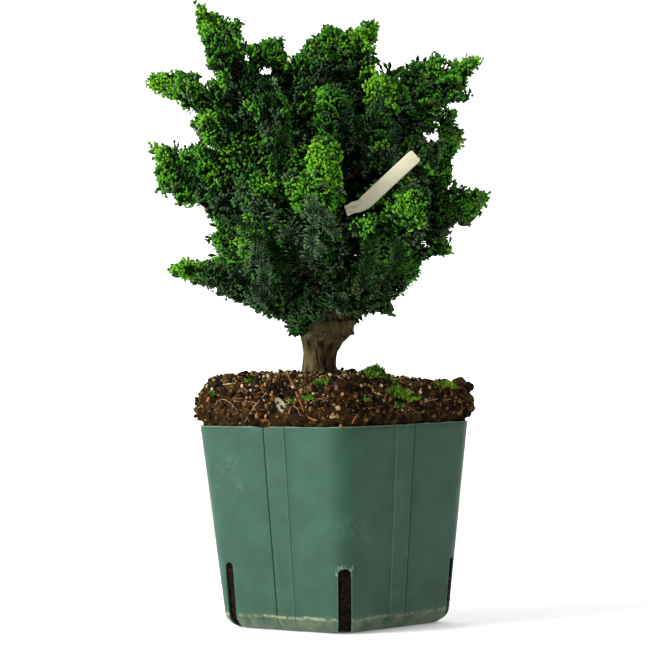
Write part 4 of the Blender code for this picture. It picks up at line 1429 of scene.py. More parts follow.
def grow_shoot(lobes, rule, start, heading, length, order, joint, draw, travelled):
    """Lays one shoot lobe by lobe, and lets side shoots grow from its joints, left and right in turn."""
    count = max(1, round(length / joint))
    place = start
    turn = heading
    first = draw.randrange(2)
    for k in range(count):
        share = k / count
        turn += draw.gauss(0.0, 0.07)
        last = k == count - 1
        lobes.append((place[0], place[1], turn, order, last, travelled + k * joint))
        if order < rule.orders and k > 0:
            side = 1 if (k + first) % 2 else -1
            reach = length * rule.reach[order - 1] * rule.outline(share) * draw.uniform(0.75, 1.2)
            if reach > joint * 0.55:
                branch = turn + side * rule.angle * draw.uniform(0.85, 1.12)
                step = joint * 2.0 if rule.slender < 1.0 and order == 1 else joint
                grow_shoot(lobes, rule, place, branch, reach, order + 1, step, draw, travelled + k * joint)
        place = (place[0] + joint * math.cos(turn), place[1] + joint * math.sin(turn))


def spray_patterns(settings):
    """A stock of flat spray patterns of each kind, as rows of x, y, turn, order, last and distance."""
    stock = {}
    for number, (kind, rule) in enumerate(SPRAY_RULES.items()):
        stock[kind] = []
        for k in range(PATTERNS_PER_RULE):
            draw = random.Random(settings.seed * 1000 + number * 100 + k)
            lobes = []
            length = settings.spray_length * rule.length
            joint = settings.joint * rule.joints
            grow_shoot(lobes, rule, (0.0, 0.0), 0.0, length, 1, joint, draw, 0.0)
            stock[kind].append(np.array(lobes, dtype=float))
    return stock


def lobe_shape(form, shade, material):
    """One lobe of scale leaves along X, with eight faces: widest near its end if it is a tip."""
    put_down()
    bpy.ops.mesh.primitive_cone_add(vertices=4, radius1=0.5, radius2=0.0, depth=0.5, end_fill_type="NGON")
    lobe = named(f"lobe_{form}_{shade}")
    edit(lobe)
    bpy.ops.transform.translate(value=(0, 0, 0.25))
    pick(lobe, lambda f: len(f.verts) == 4)
    bpy.ops.mesh.extrude_region_move(TRANSFORM_OT_translate={"value": (0, 0, -0.5)})
    bpy.ops.mesh.merge(type="CENTER")
    bpy.ops.mesh.select_all(action="SELECT")
    bpy.ops.transform.rotate(value=math.radians(90), orient_axis="Y", center_override=(0, 0, 0))
    bpy.ops.mesh.normals_make_consistent(inside=False)
    close_edit()
    points = points_of(lobe)
    points[:, 0] += 0.5
    points[:, 0] = np.clip(points[:, 0], 0.0, 1.0) ** (0.60 if form == "tip" else 0.85)
    move_points(lobe, points)
    take_up(lobe)
    bpy.ops.object.shade_smooth()
    wear(lobe, material)
    return lobe


def leaf_finish(shade, colour):
    """Waxy scale leaves of one plain shade; the old ones are dull."""
    finish = Finish("leaf_" + shade, colour, 0.50, 0.04 if max(colour) < 0.05 else 0.14)
    return finish.material


def leaf_stock():
    lobes = []
    finishes = {shade: leaf_finish(shade, SHADES[shade]) for shade in SHADE_NAMES}
    for form in LOBE_FORMS:
        for shade in SHADE_NAMES:
            lobes.append(lobe_shape(form, shade, finishes[shade]))
    return new_stock("lobe_stock", lobes)


def even_directions(count):
    """Directions spread evenly over a sphere."""
    made = []
    for k in range(count):
        z = 1 - (2 * k + 1) / count
        ring = math.sqrt(1 - z * z)
        made.append(Vector((ring * math.cos(k * GOLDEN_ANGLE), ring * math.sin(k * GOLDEN_ANGLE), z)))
    return made


SIGHT_LINES = even_directions(26)
SIGHT_REACH = 0.060


def openness(tree, place, normal):
    """The share of directions in which nothing of the crown stands near a place."""
    start = place + normal * 0.0012
    free = 0
    for line in SIGHT_LINES:
        if tree.ray_cast(start, line, SIGHT_REACH)[0] is None:
            free += 1
    return free / len(SIGHT_LINES)


class Mass:
    """One mass of the crown: its mesh, its axis from the heart outwards, and its surface's area."""

    def __init__(self, name):
        node = frame["nodes"][name]
        self.name = name
        self.tree = tree_of(node)
        points = points_of(node)
        reach = np.linalg.norm(points - np.array(HEART), axis=1)
        order = np.argsort(reach)
        near = max(3, len(points) // 6)
        far = max(2, len(points) // 14)
        self.root = Vector(points[order[:near]].mean(axis=0))
        self.tip = Vector(points[order[-far:]].mean(axis=0))
        self.axis = (self.tip - self.root).normalized()
        self.length = (self.tip - self.root).length
        self.area = sum(face.area for face in node.data.polygons)
        self.low = float(points[:, 2].min())
        self.high = float(points[:, 2].max())
        helper = Vector((0, 0, 1)) if abs(self.axis.z) < 0.9 else Vector((1, 0, 0))
        self.across = self.axis.cross(helper).normalized()
        self.up = self.axis.cross(self.across)

    def middle(self, share):
        return self.root.lerp(self.tip, share)

    def surface(self, share, turn):
        """A point on the surface, from the axis at a share of its length outwards, with its normal."""
        start = self.middle(0.04 + 0.80 * share)
        lean = math.radians(92 - 84 * share ** 1.6)
        side = self.across * math.cos(turn) + self.up * math.sin(turn)
        line = self.axis * math.cos(lean) + side * math.sin(lean)
        place, normal, _, _ = self.tree.ray_cast(start, line)
        return start, line, place, normal


def spray_score(share, place, normal, free, level, plume, draw):
    """How young and lit a spray looks: near one at bright tips, near nought deep inside."""
    # Painted light and shade: open sprays, high ones and those facing up score brighter; those deep inside, facing
    # down or low in the crown score darker.
    height = (place.z - 0.19) / 0.17
    score = 0.50 + 1.05 * (free - 0.34) + 0.14 * (share - 0.50) + 0.20 * (height - 0.5)
    score += 0.20 * min(0.0, normal.z) + 0.30 * (level - 0.5)
    score += 0.16 * (0.45 - plume) + draw.gauss(0.0, 0.09)
    return score - 0.22 * max(0.0, (0.236 - place.z) / 0.05)


NEAR_RIM = np.array([(-5.0, 0.0), (5.0, 0.0), (0.0, 5.0), (0.0, -4.0)])


def in_view(place):
    """Where the front view shows a place in the trunk's plane, in millimetres."""
    depth = CAMERA_PLACE.y / (CAMERA_PLACE.y - place.y)
    across = 1000 * (CAMERA_PLACE.x + (place.x - CAMERA_PLACE.x) * depth)
    return across, 1000 * (CAMERA_PLACE.z + (place.z - CAMERA_PLACE.z) * depth)


def over_frond(place):
    """True where a cluster would hide one of the long fronds in the front view."""
    across, up = in_view(place)
    return any(beside_line(across, up, foot, tip) < 6.0 * breadth for _, foot, tip, breadth, _ in FRONDS)


def youth_and_light_in_view(place):
    """How young and lit the growth at a place looks in the front view, by the patches that it shows; the brightness
    is partly young growth and partly painted light and shade.
    """
    across, up = in_view(place)
    rim = up > 232 and not inside_outline(across + NEAR_RIM[:, 0], up + NEAR_RIM[:, 1]).all()
    youth_and_light = RIM_PAINTED_LIGHT if rim else YOUTH_AND_LIGHT_BETWEEN
    for middle_x, middle_z, half_x, half_z, percent in YOUNG_AND_LIT_PATCHES:
        gap = ((across - middle_x) / half_x) ** 2 + ((up - middle_z) / half_z) ** 2
        weight = max(0.0, min(1.0, (2.0 - gap) / 0.9))
        youth_and_light = max(youth_and_light, YOUTH_AND_LIGHT_BETWEEN + (percent / 100 - YOUTH_AND_LIGHT_BETWEEN) * weight)
    if youth_and_light > YOUTH_AND_LIGHT_BETWEEN:
        return youth_and_light
    # Painted shade: where the view looks into the dark, the sprays take the darkest kinds.
    for middle_x, middle_z, half_x, half_z in DARK_PATCHES:
        if ((across - middle_x) / half_x) ** 2 + ((up - middle_z) / half_z) ** 2 < 1:
            return 0.05
    return youth_and_light


SCORE_STEPS = (
    (0.79, "new"), (0.55, "young"), (0.38, "grown"), (0.23, "full"), (0.07, "shaded"), (-9.0, "inner"),
)


def spray_kind(score, place, normal, draw):
    """The kind of spray, by its score and place: young at the tips, grey-green underneath."""
    chance = draw.random()
    if chance < 0.003:
        return "dry"
    if score < 0.5 and (normal.z < -0.2 and chance < 0.40 or place.z < 0.235 and chance < 0.34):
        return "underside"
    if score < 0.4 and chance > 0.88:
        return "aged"
    if chance < 0.03:
        return "frosted"
    return next(kind for limit, kind in SCORE_STEPS if score > limit)


def inside_outline(across, up):
    """True where points in the trunk's plane (millimetres) lie within the crown's outline."""
    inside = np.zeros(len(across), dtype=bool)
    for (x1, z1), (x2, z2) in zip(CROWN_OUTLINE, CROWN_OUTLINE[1:] + CROWN_OUTLINE[:1]):
        if z1 == z2:
            continue
        spans = (z1 > up) != (z2 > up)
        inside ^= spans & (across < x1 + (up - z1) * (x2 - x1) / (z2 - z1))
    return inside


def beside_line(across, up, start, end):
    """How far points in the trunk's plane lie from the line between two others."""
    run_x, run_z = end[0] - start[0], end[1] - start[1]
    share = ((across - start[0]) * run_x + (up - start[1]) * run_z) / (run_x ** 2 + run_z ** 2)
    share = np.clip(share, 0.0, 1.0)
    return np.hypot(across - start[0] - share * run_x, up - start[1] - share * run_z)


def in_the_open(places, stray):
    """True where a place lies past the crown's outline, in a gap of the crown or in its hollow."""
    depth = CAMERA_PLACE.y / (CAMERA_PLACE.y - places[:, 1])
    across = 1000 * (CAMERA_PLACE.x + (places[:, 0] - CAMERA_PLACE.x) * depth)
    up = 1000 * (CAMERA_PLACE.z + (places[:, 2] - CAMERA_PLACE.z) * depth)
    across, up = across + stray[:, 0], up + stray[:, 1]
    found = ~inside_outline(across, up)
    ragged = 1 + 0.75 * np.sin(across * 1.7 + 1.3 * np.sin(up * 1.1)) * np.sin(up * 1.9 + 2.0)
    for middle_x, middle_z, half_x, half_z in CROWN_GAPS:
        found |= ((across - middle_x) / half_x) ** 2 + ((up - middle_z) / half_z) ** 2 < ragged
    found |= (beside_line(across, up, *LABEL_LINE) < LABEL_HALF) & (places[:, 1] < LABEL_FRONT)
    offset = (places - np.array(HOLLOW_MIDDLE)) / np.array(HOLLOW_RADII)
    return found | ((offset ** 2).sum(axis=1) < 1)


class Crown:
    """Gathers lobes and twigs as the branching rule grows them."""

    def __init__(self, settings):
        self.settings = settings
        self.draw = random.Random(settings.seed)
        self.patterns = spray_patterns(settings)
        self.masses = {name: Mass(name) for name in MASS_NODES}
        self.tree = tree_of(*[frame["nodes"][name] for name in MASS_NODES])
        self.wood = tree_of(*[frame["nodes"][name] for name in WOOD_NODES])
        self.lobes = {name: [] for name in MASS_NODES}
        self.twigs = []

    def add_spray(self, mass, rule, foot, heading, facing, scale, shades, slack=0.0028, drape=0.0):
        """Lays one spray from its foot, cupped towards its face, and keeps what stays near the crown.

        A draped one lies this far before the masses, as the camera sees them.
        """
        draw = self.draw
        pattern = self.patterns[rule][draw.randrange(PATTERNS_PER_RULE)]
        flip = draw.choice((-1.0, 1.0))
        x = pattern[:, 0] * scale
        y = pattern[:, 1] * scale * flip
        turn = pattern[:, 2] * flip
        hollow = SPRAY_RULES[rule].hollow * draw.uniform(0.5, 1.5)
        length = self.settings.spray_length * SPRAY_RULES[rule].length * scale
        bend_x = hollow * 0.35 / length
        bend_y = hollow * 0.9 / length
        rows = len(pattern)
        jitter = np.array([draw.gauss(0.0, 1.0) for _ in range(rows * 2)]).reshape(rows, 2)
        z = bend_x * x * x * 0.5 + bend_y * y * y + jitter[:, 0] * 0.00025
        along_x, along_y = np.cos(turn), np.sin(turn)
        along_z = bend_x * x * along_x + 2 * bend_y * y * along_y + jitter[:, 1] * 0.20
        heading = heading.normalized()
        facing = (facing - heading * facing.dot(heading)).normalized()
        side = facing.cross(heading)
        axes = np.array([heading, side, facing])
        places = np.array(foot) + np.stack([x, y, z], axis=1) @ axes
        along = np.stack([along_x, along_y, along_z], axis=1)
        along /= np.linalg.norm(along, axis=1, keepdims=True)
        slope = np.stack([-bend_x * x, -2 * bend_y * y, np.ones(rows)], axis=1)
        across = np.cross(slope, along)
        across /= np.linalg.norm(across, axis=1, keepdims=True)
        normal = np.cross(along, across)
        last = pattern[:, 4] > 0.5
        far = pattern[:, 5] / (self.settings.spray_length * SPRAY_RULES[rule].length)
        # Painted shade: the lobes at a spray's foot take its darkest shade.
        rank = np.where(last, 0, np.where(far > 0.45, 1, 2))
        width = self.settings.shoot_width * (0.92 + 0.16 * np.array([draw.random() for _ in range(rows)]))
        width = width * np.where(last, 1.06, 0.94) * SPRAY_RULES[rule].slender
        if rule == "frond":
            width = width * min(1.0, scale) ** 0.6
        long = self.settings.joint * np.where(last, 1.62, 1.50) * (0.5 + 0.5 * SPRAY_RULES[rule].slender)
        long = long * max(1.0, SPRAY_RULES[rule].joints)
        names = SPRAY_SHADES[shades]
        numbers = np.array([SHADE_NAMES.index(name) for name in names])[rank]
        forms = numbers + np.where(last, len(SHADE_NAMES), 0)
        sizes = np.stack([long * np.ones(rows), width, width * 0.62], axis=1)
        turns = turns_of(along @ axes, across @ axes, normal @ axes)
        ends = places + along @ axes * long[:, None] * 0.7
        open_here = in_the_open(ends, jitter * 0.8) | (np.abs(ends - BOX_MIDDLE) > BOX_REACH).any(axis=1)
        for k in range(rows):
            if open_here[k]:
                continue
            place = Vector(places[k])
            if drape:
                line = place - CAMERA_PLACE
                met = self.tree.ray_cast(CAMERA_PLACE, line)[0]
                place = place if met is None else met - line.normalized() * drape
            nearest, outward, _, gap = self.tree.find_nearest(place)
            outside = (place - nearest).dot(outward) > 0
            if outside and gap > slack or slack < 0 and (outside or gap < -slack):
                continue
            self.lobes[mass.name].append((*place, *turns[k], *sizes[k], forms[k]))

    def seen(self, place):
        """True where no mass stands between the camera and a place."""
        line = place - CAMERA_PLACE
        hit = self.tree.ray_cast(CAMERA_PLACE, line)
        return hit[0] is None or hit[3] > line.length - 0.012

    def grow_cluster(self, mass, tip, outward, heading, size, score, slack=0.0050):
        """A few small sprays from one foot, spread like a hand, and a bigger old one beneath them, darker both as old
        growth and as painted shade.
        """
        draw = self.draw
        heading = heading.normalized()
        outward = outward - heading * outward.dot(heading)
        if outward.length < 0.2:
            outward = heading.cross(Vector([draw.gauss(0, 1) for _ in range(3)]))
        outward = outward.normalized()
        reach = self.settings.spray_length * SPRAY_RULES["sprig"].length * size
        foot = tip - heading * reach * 1.05
        count = draw.choice((3, 4, 4, 5))
        for k in range(count):
            turn = math.radians(-62 + 124 * (k + 0.5) / count + draw.gauss(0, 9))
            line = Matrix.Rotation(turn, 3, outward) @ heading + outward * draw.gauss(0.12, 0.24)
            face = Matrix.Rotation(draw.gauss(0, 0.5), 3, line) @ outward
            scale = size * draw.uniform(0.85, 1.2) * (1 - 0.12 * abs(turn))
            kind = spray_kind(score + draw.gauss(0.0, 0.09), tip, outward, draw)
            start = foot + outward * draw.uniform(-0.0008, 0.0012)
            self.add_spray(mass, "sprig", start, line, face, scale, kind, slack)
        # The spray beneath is older and darker, partly as painted shade.
        kind = spray_kind(score - draw.uniform(0.22, 0.45), tip, outward, draw)
        rule = draw.choice(("fan", "finger"))
        scale = 0.8 * size
        start = tip - outward * 0.0030 - heading * self.settings.spray_length * scale
        self.add_spray(mass, rule, start, heading, outward, scale, kind, slack)
        return foot

    def add_twig(self, start, end, leaving, radius):
        """A twig from a limb to a spray's foot, which leaves along the limb and bends out."""
        middle = start + leaving * (end - start).length * 0.45
        run = []
        for k in range(4):
            t = k / 3
            place = (1 - t) ** 2 * start + 2 * t * (1 - t) * middle + t * t * end
            run.append((place, radius * (1 - 0.55 * t)))
        self.twigs.append(run)

    def grow_mass(self, mass):
        """A stem along the mass, and sprays that leave it round and round up to the surface."""
        settings = self.settings
        draw = self.draw
        foot, _, _, _ = self.wood.find_nearest(mass.root)
        stem = smooth_run([foot, mass.root, mass.middle(0.5), mass.middle(0.86)], 4)
        self.twigs.append([(p, 0.0016 - 0.0011 * k / (len(stem) - 1)) for k, p in enumerate(stem)])
        count = max(8, round(mass.area / settings.area_per_cluster))
        for k in range(count):
            share = (k + 0.5) / count
            turn = k * GOLDEN_ANGLE + draw.uniform(-0.3, 0.3)
            start, line, place, normal = mass.surface(share, turn)
            if place is None:
                continue
            free = openness(self.tree, place, normal)
            if free < 0.06 and draw.random() < 0.85 or free < 0.14 and draw.random() < 0.45:
                continue
            self.place_cluster(mass, share, start, line, place, normal, free)
        self.grow_fronds(mass)
        self.fill_inside(mass)

    def place_cluster(self, mass, share, start, line, place, normal, free):
        """One cluster on its twig: it leans out from the tip of its plume."""
        draw = self.draw
        far, tips = noise.voronoi(place / PLUME_SIZE)
        plume = min(1.0, far[0] / 0.62)
        splay = (place / PLUME_SIZE - tips[0]) * 0.5
        taper = 1.0 - TIP_TAPER * share ** 1.8 * abs(line.dot(normal))
        reach = (place - start).length * taper + draw.choice((-0.0050, -0.0015, 0.0015, 0.0035))
        place = start + line * max(0.004, reach + draw.uniform(-0.001, 0.001) - PLUME_DROP * plume ** 1.4)
        level = (place.z - mass.low) / (mass.high - mass.low)
        score = spray_score(share, place, normal, free, level, plume, draw)
        if self.seen(place):
            # In the front view the patches give the young growth and the painted light and shade.
            youth_and_light = youth_and_light_in_view(place)
            if youth_and_light < 0.1 and draw.random() < 0.6:
                return
            if youth_and_light < 0.5 and over_frond(place) and draw.random() < 0.8:
                return
            score = youth_and_light + 0.12 * (score - 0.4) + draw.gauss(0.0, 0.06)
        heading = line * 0.36 + mass.axis * 0.50 + splay + Vector((0, 0, 0.20))
        heading += Vector([draw.gauss(0, 0.20) for _ in range(3)])
        foot = self.grow_cluster(mass, place, normal, heading, draw.uniform(0.80, 1.15), score)
        leave = mass.middle(max(0.0, 0.80 * share - 0.12))
        self.add_twig(leave, foot, mass.axis, 0.00050)

    def grow_fronds(self, mass):
        """Long older fronds that lie along the lower half of a mass, with leaflets like a herringbone."""
        draw = self.draw
        count = round(mass.length / 0.0120)
        for k in range(count):
            share = 0.04 + 0.36 * (k + 0.5) / count
            start, line, place, normal = mass.surface(share, k * GOLDEN_ANGLE * 1.3 + 0.6)
            if place is None or openness(self.tree, place, normal) < 0.16 or youth_and_light_in_view(place) > 0.4:
                continue
            heading = mass.axis - normal * mass.axis.dot(normal)
            if heading.length < 0.2:
                continue
            heading = heading.normalized() + normal * 0.10
            heading += Vector([draw.gauss(0, 0.10) for _ in range(3)])
            kind = draw.choices(("underside", "frosted", "aged", "shaded"), (0.40, 0.08, 0.16, 0.36))[0]
            scale = min(1.0, mass.length * 0.72 / 0.040) * draw.uniform(0.75, 1.05)
            self.add_spray(mass, "frond", place - normal * 0.0022, heading, normal, scale, kind)

    def fill_inside(self, mass):
        """Old sprays inside the mass, painted near black as painted shade, which close the view through it."""
        draw = self.draw
        count = round(mass.area / self.settings.area_per_cluster * 0.14)
        for k in range(count):
            share = (k + 0.5) / count
            start, line, place, _ = mass.surface(share, k * GOLDEN_ANGLE * 1.7)
            if place is None:
                continue
            heading = (line + mass.axis * 0.5).normalized()
            facing = Vector([draw.gauss(0, 1) for _ in range(3)])
            self.add_spray(mass, "twiggy", start, heading, facing, 1.5, "inner", -0.005)

    def fill_core(self):
        """Old growth in the middle of the crown's depth, painted dark as painted shade, which closes the view between
        the masses.
        """
        draw = self.draw
        low_x, high_x = min(x for x, _ in CROWN_OUTLINE), max(x for x, _ in CROWN_OUTLINE)
        low_z, high_z = min(z for _, z in CROWN_OUTLINE), max(z for _, z in CROWN_OUTLINE)
        step = 5.2
        margin = np.array([(dx, dz) for dx in (-1, 0, 1) for dz in (-1, 0, 1)], dtype=float)
        for depth in (0.000, 0.014, 0.027):
            for i in range(round((high_x - low_x) / step)):
                for j in range(round((high_z - low_z) / step)):
                    x = low_x + step * (i + draw.random())
                    z = low_z + step * (j + draw.random())
                    place = Vector((x / 1000, depth + draw.uniform(-0.004, 0.004), z / 1000))
                    if not inside_outline(x + margin[:, 0] * 5, z + margin[:, 1] * 5).all():
                        continue
                    near_rim = not inside_outline(x + margin[:, 0] * 12, z + margin[:, 1] * 12).all()
                    gaps = [(mass.tree.find_nearest(place)[3], name) for name, mass in self.masses.items()]
                    heading = (place - HEART).normalized() * 0.4 + Vector([draw.gauss(0, 0.5) for _ in range(3)])
                    facing = Vector([draw.gauss(0, 1) for _ in range(3)])
                    # Painted shade: most core sprays are of the near black inner kind.
                    kind = "full" if near_rim else "inner" if draw.random() < 0.75 else "shaded"
                    rule, scale = ("sprig", 0.9) if near_rim else ("twiggy", 0.70)
                    self.add_spray(self.masses[min(gaps)[1]], rule, place, heading, facing, scale, kind, 0.05)

    def grow_plume(self, name, root, tip, half, youth_and_light):
        """One plume that the front view shows: sprays round a stem, each shorter towards the tip."""
        draw = self.draw
        mass = self.masses[name]
        root, tip = Vector(root) / 1000, Vector(tip) / 1000
        axis = (tip - root).normalized()
        length = (tip - root).length
        across = axis.cross(Vector((0.3, -1, 0.2))).normalized()
        up = axis.cross(across)
        self.twigs.append([(root, 0.0009), (root.lerp(tip, 0.5), 0.0007), (root.lerp(tip, 0.85), 0.0004)])
        count = max(6, round(length * half / 1000 / 0.0000160))
        for k in range(count):
            share = (k + 0.5) / count
            turn = k * GOLDEN_ANGLE
            side = across * math.cos(turn) + up * math.sin(turn)
            out = half / 1000 * (1.04 - share) ** 0.75 * draw.uniform(0.60, 1.20)
            heading = axis * (0.55 + 0.6 * share) + side * (1.0 - 0.55 * share) + Vector((0, 0, 0.12))
            heading += Vector([draw.gauss(0, 0.16) for _ in range(3)])
            end = root + axis * length * (0.10 + 0.90 * share) + side * out * 0.9
            outward = side * 0.7 + Vector((-0.1, -0.7, 0.25))
            # Painted light: sprays facing up are brighter; those towards the tip are brighter as younger growth.
            score = youth_and_light + 0.30 * (share - 0.5) + 0.16 * side.z + draw.gauss(0.0, 0.08)
            if youth_and_light > 0.25:
                score = 0.3 * score + 0.7 * youth_and_light_in_view(end)
            self.grow_cluster(mass, end, outward, heading, draw.uniform(0.75, 1.0), score, 0.012)

    def lay_frond(self, name, foot, tip, breadth, kind):
        """One long frond on the front of the crown, between two places of the trunk's plane."""
        ends = []
        for x, z in (foot, tip):
            level = Vector((x / 1000, 0.0, z / 1000))
            place, normal, _, _ = self.tree.ray_cast(CAMERA_PLACE, level - CAMERA_PLACE)
            if place is None:
                return
            ends.append(place - (level - CAMERA_PLACE).normalized() * 0.0045)
        run = ends[1] - ends[0]
        whole = self.settings.spray_length * SPRAY_RULES["frond"].length * breadth
        facing = Vector((0, -1, 0.15))
        steps = max(1, round(run.length / whole * 1.25))
        for k in range(steps):
            start = ends[0] + run * (k / steps) - facing * 0.0012 * k
            self.add_spray(self.masses[name], "frond", start, run, facing, breadth, kind, 0.008, 0.004)


def trimmed(runs):
    """Twigs without what would stand in the open."""
    kept = []
    for run in runs:
        places = np.array([place for place, _ in run])
        bare = in_the_open(places, np.zeros((len(run), 2)))
        run = run[: int(bare.argmax())] if bare.any() else run
        if len(run) > 1:
            kept.append(run)
    return kept


def build_foliage(settings):
    """All sprays of the crown, region by region, and the twigs that carry them."""
    crown = Crown(settings)
    for name in MASS_NODES:
        crown.grow_mass(crown.masses[name])
    for plume in PLUMES:
        crown.grow_plume(*plume)
    for frond in FRONDS:
        crown.lay_frond(*frond)
    crown.fill_core()
    stock = leaf_stock()
    group = scatter_group(stock)
    total = 0
    for name, members in FOLIAGE_GROUPS.items():
        rows = np.array([row for member in members for row in crown.lobes[member]])
        piece = scattered(name, group, rows[:, 0:3], rows[:, 3:6], rows[:, 6:9], rows[:, 9])
        triangles = sum(len(face.vertices) - 2 for face in piece.data.polygons)
        print(name, len(rows), "lobes", triangles, "triangles")
        total += triangles
        hand_over(piece, "foliage", *members)
    clear_stock(stock)
    print("foliage", total, "triangles")
    twigs = strands("twigs", trimmed(crown.twigs), lump_finish("twig_bark", (0.046, 0.032, 0.017), 0.4))
    hand_over(twigs, "bark")


# Label


def label_finish(settings):
    """Cream card with a fine grain and a little grime."""
    colour = tuple(settings.colour)
    finish = Finish("label_card", colour, 0.6, 0.35)
    grain = finish.noise(900, 3)
    grime = finish.noise(120, 4).rise(0.48, 0.72)
    toned = finish.mix(grain, [c * 0.93 for c in colour], [min(1, c * 1.05) for c in colour])
    finish.feed("Base Color", finish.mix(grime * 0.35, toned, (0.36, 0.34, 0.20)))
    finish.bump(grain, 0.00012, 0.6)
    return finish.material


def build_label(settings):
    """A narrow card, smooth above its crease and crumpled below it."""
    put_down()
    long_steps, wide_steps = 54, 8
    bpy.ops.mesh.primitive_grid_add(x_subdivisions=long_steps, y_subdivisions=wide_steps, size=1.0)
    label = named("label_card")
    top, crease, end = Vector(settings.top), Vector(settings.crease), Vector(settings.end)
    first, second = (crease - top), (end - crease)
    whole = first.length + second.length
    points = points_of(label)
    for point in points:
        share, side = point[0] + 0.5, point[1]
        run = share * whole
        if run < first.length:
            place = top + first * (run / first.length)
            heading = first.normalized()
        else:
            past = (run - first.length) / second.length
            place = crease + second * past
            heading = second.normalized()
        blend = min(1.0, max(0.0, (run - first.length + 0.002) / 0.004))
        heading = first.normalized().lerp(second.normalized(), blend).normalized()
        across = Vector((0, 1, 0)).cross(heading).normalized()
        crumple = min(1.0, max(0.0, (run - first.length + 0.003) / 0.008))
        corner = max(0.0, 0.0016 - run)
        narrow = 1.0 - 0.16 * (corner / 0.0016) ** 2
        place += across * side * settings.width * narrow * (1.0 - 0.22 * crumple)
        bow = 0.0009 * math.sin(math.pi * share) + 0.0006 * math.cos(side * math.pi)
        fold = noise.noise(Vector((run * 420, side * 4.2, 0.7))) * 0.0016 * crumple
        place.y += fold - bow * 0.5
        place.z += noise.noise(Vector((run * 300, side * 3, 4.0))) * 0.0009 * crumple
        point[:] = place
    move_points(label, points)
    worked(label, "SOLIDIFY", thickness=0.00045, offset=0.0)
    worked(label, "SUBSURF", levels=1, render_levels=1)
    edit(label)
    bpy.ops.mesh.normals_make_consistent(inside=False)
    close_edit()
    take_up(label)
    bpy.ops.object.shade_smooth_by_angle(angle=math.radians(40))
    wear(label, label_finish(settings))
    hand_over(label, "label", "plant_label")


# Stage


def white_paper(name, settings):
    """Paper that shines a little by itself, so that it stays white behind the plant."""
    finish = Finish(name, tuple(settings.floor_colour), 0.9, 0.1)
    finish.shader.inputs["Emission Color"].default_value = (1.0, 1.0, 1.0, 1.0)
    finish.shader.inputs["Emission Strength"].default_value = settings.glow
    return finish.material


def build_stage(settings):
    """A pale floor and backdrop, soft white light, most of it from the left, and the photograph's camera."""
    scene = bpy.context.scene
    scene.view_settings.view_transform = "Standard"
    world = bpy.data.worlds.new("white_sky")
    world.use_nodes = True
    sky = world.node_tree.nodes["Background"]
    sky.inputs["Color"].default_value = (1.0, 1.0, 1.0, 1.0)
    sky.inputs["Strength"].default_value = settings.sky
    scene.world = world
    put_down()
    bpy.ops.mesh.primitive_plane_add(size=8.0, location=(0, 0, 0))
    floor = fixed(named("floor"))
    wear(floor, white_paper("floor_paper", settings))
    put_down()
    bpy.ops.mesh.primitive_plane_add(size=8.0, location=(0, 3.0, 0), rotation=(math.radians(90), 0, 0))
    backdrop = fixed(named("backdrop"))
    wear(backdrop, white_paper("backdrop_paper", settings))
    backdrop.data.materials[0].node_tree.nodes["Principled BSDF"].inputs["Emission Strength"].default_value = 1.0
    lights = (
        ("key_light", (-1.65, -0.80, 1.15), 1.1, settings.key),
        ("top_light", (0.15, 0.35, 1.6), 1.4, settings.fill),
    )
    for name, place, size, power in lights:
        data = bpy.data.lights.new(name, "AREA")
        data.size = size
        data.energy = power
        lamp = bpy.data.objects.new(name, data)
        lamp.location = place
        aim = Vector((0, 0, 0.18)) - Vector(place)
        lamp.rotation_euler = aim.to_track_quat("-Z", "Y").to_euler()
        scene.collection.objects.link(lamp)
    lens = bpy.data.cameras.new("photo_camera")
    lens.sensor_width = SENSOR
    lens.lens = FOCAL_PIXELS / PHOTO_SIDE * SENSOR
    lens.clip_end = 20.0
    camera = bpy.data.objects.new("photo_camera", lens)
    camera.location = CAMERA_PLACE
    camera.rotation_euler = (math.radians(90), CAMERA_ROLL, 0)
    scene.collection.objects.link(camera)
    scene.camera = camera


# Operators and panel


class CYPRESS_OT_pot(Operator):
    """Build the square plastic pot"""
    bl_idname = "cypress.pot"
    bl_label = "Pot"

    def execute(self, context):
        build_pot(context.scene.cypress_pot)
        return {"FINISHED"}


class CYPRESS_OT_root_ball(Operator):
    """Build the root ball with its crumbs, roots and moss"""
    bl_idname = "cypress.root_ball"
    bl_label = "Root ball"

    def execute(self, context):
        settings = context.scene.cypress_soil
        soil = build_soil(settings)
        tree = tree_of(soil)
        build_crumbs(settings, tree)
        build_litter(tree)
        return {"FINISHED"}


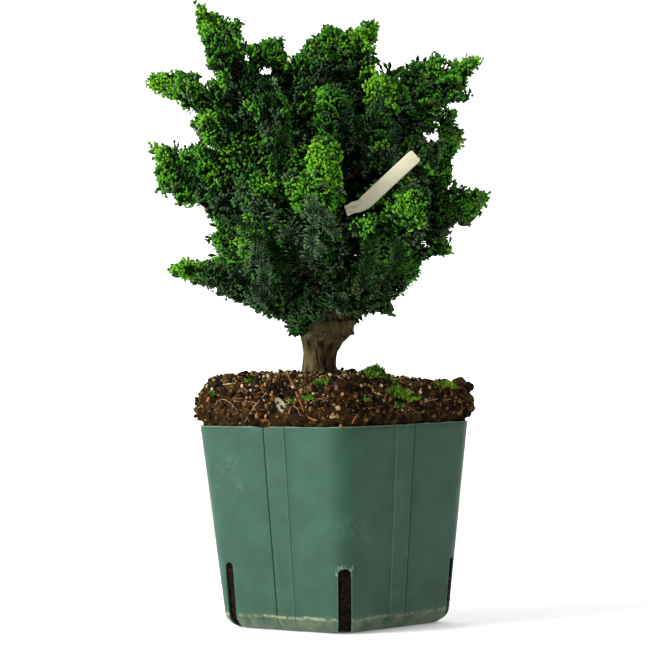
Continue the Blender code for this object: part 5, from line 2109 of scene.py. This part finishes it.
class CYPRESS_OT_wood(Operator):
    """Build the trunk, the leader and the boughs with their bark"""
    bl_idname = "cypress.wood"
    bl_label = "Wood"

    def execute(self, context):
        build_wood(context.scene.cypress_wood)
        return {"FINISHED"}


class CYPRESS_OT_foliage(Operator):
    """Grow the twigs and sprays of the crown"""
    bl_idname = "cypress.foliage"
    bl_label = "Foliage"

    def execute(self, context):
        build_foliage(context.scene.cypress_foliage)
        return {"FINISHED"}


class CYPRESS_OT_label(Operator):
    """Build the blank plant label"""
    bl_idname = "cypress.label"
    bl_label = "Label"

    def execute(self, context):
        build_label(context.scene.cypress_label)
        return {"FINISHED"}


class CYPRESS_OT_stage(Operator):
    """Set the floor, the lights and the camera"""
    bl_idname = "cypress.stage"
    bl_label = "Stage"

    def execute(self, context):
        build_stage(context.scene.cypress_stage)
        return {"FINISHED"}


STEPS = ("stage", "pot", "root_ball", "wood", "foliage", "label")


class CYPRESS_PT_panel(Panel):
    bl_idname = "CYPRESS_PT_panel"
    bl_label = "Potted dwarf cypress"
    bl_space_type = "VIEW_3D"
    bl_region_type = "UI"
    bl_category = "Cypress"

    def draw(self, context):
        for step in STEPS:
            self.layout.operator("cypress." + step)


SETTINGS = {
    "cypress_pot": PotSettings,
    "cypress_soil": SoilSettings,
    "cypress_wood": WoodSettings,
    "cypress_foliage": FoliageSettings,
    "cypress_label": LabelSettings,
    "cypress_stage": StageSettings,
}
CLASSES = (
    *SETTINGS.values(),
    CYPRESS_OT_pot,
    CYPRESS_OT_root_ball,
    CYPRESS_OT_wood,
    CYPRESS_OT_foliage,
    CYPRESS_OT_label,
    CYPRESS_OT_stage,
    CYPRESS_PT_panel,
)


def register():
    for each in CLASSES:
        bpy.utils.register_class(each)
    for name, group in SETTINGS.items():
        setattr(bpy.types.Scene, name, PointerProperty(type=group))


def unregister():
    for name in SETTINGS:
        delattr(bpy.types.Scene, name)
    for each in reversed(CLASSES):
        bpy.utils.unregister_class(each)


def main():
    register()
    for step in STEPS:
        getattr(bpy.ops.cypress, step)()


if __name__ == "__main__":
    main()
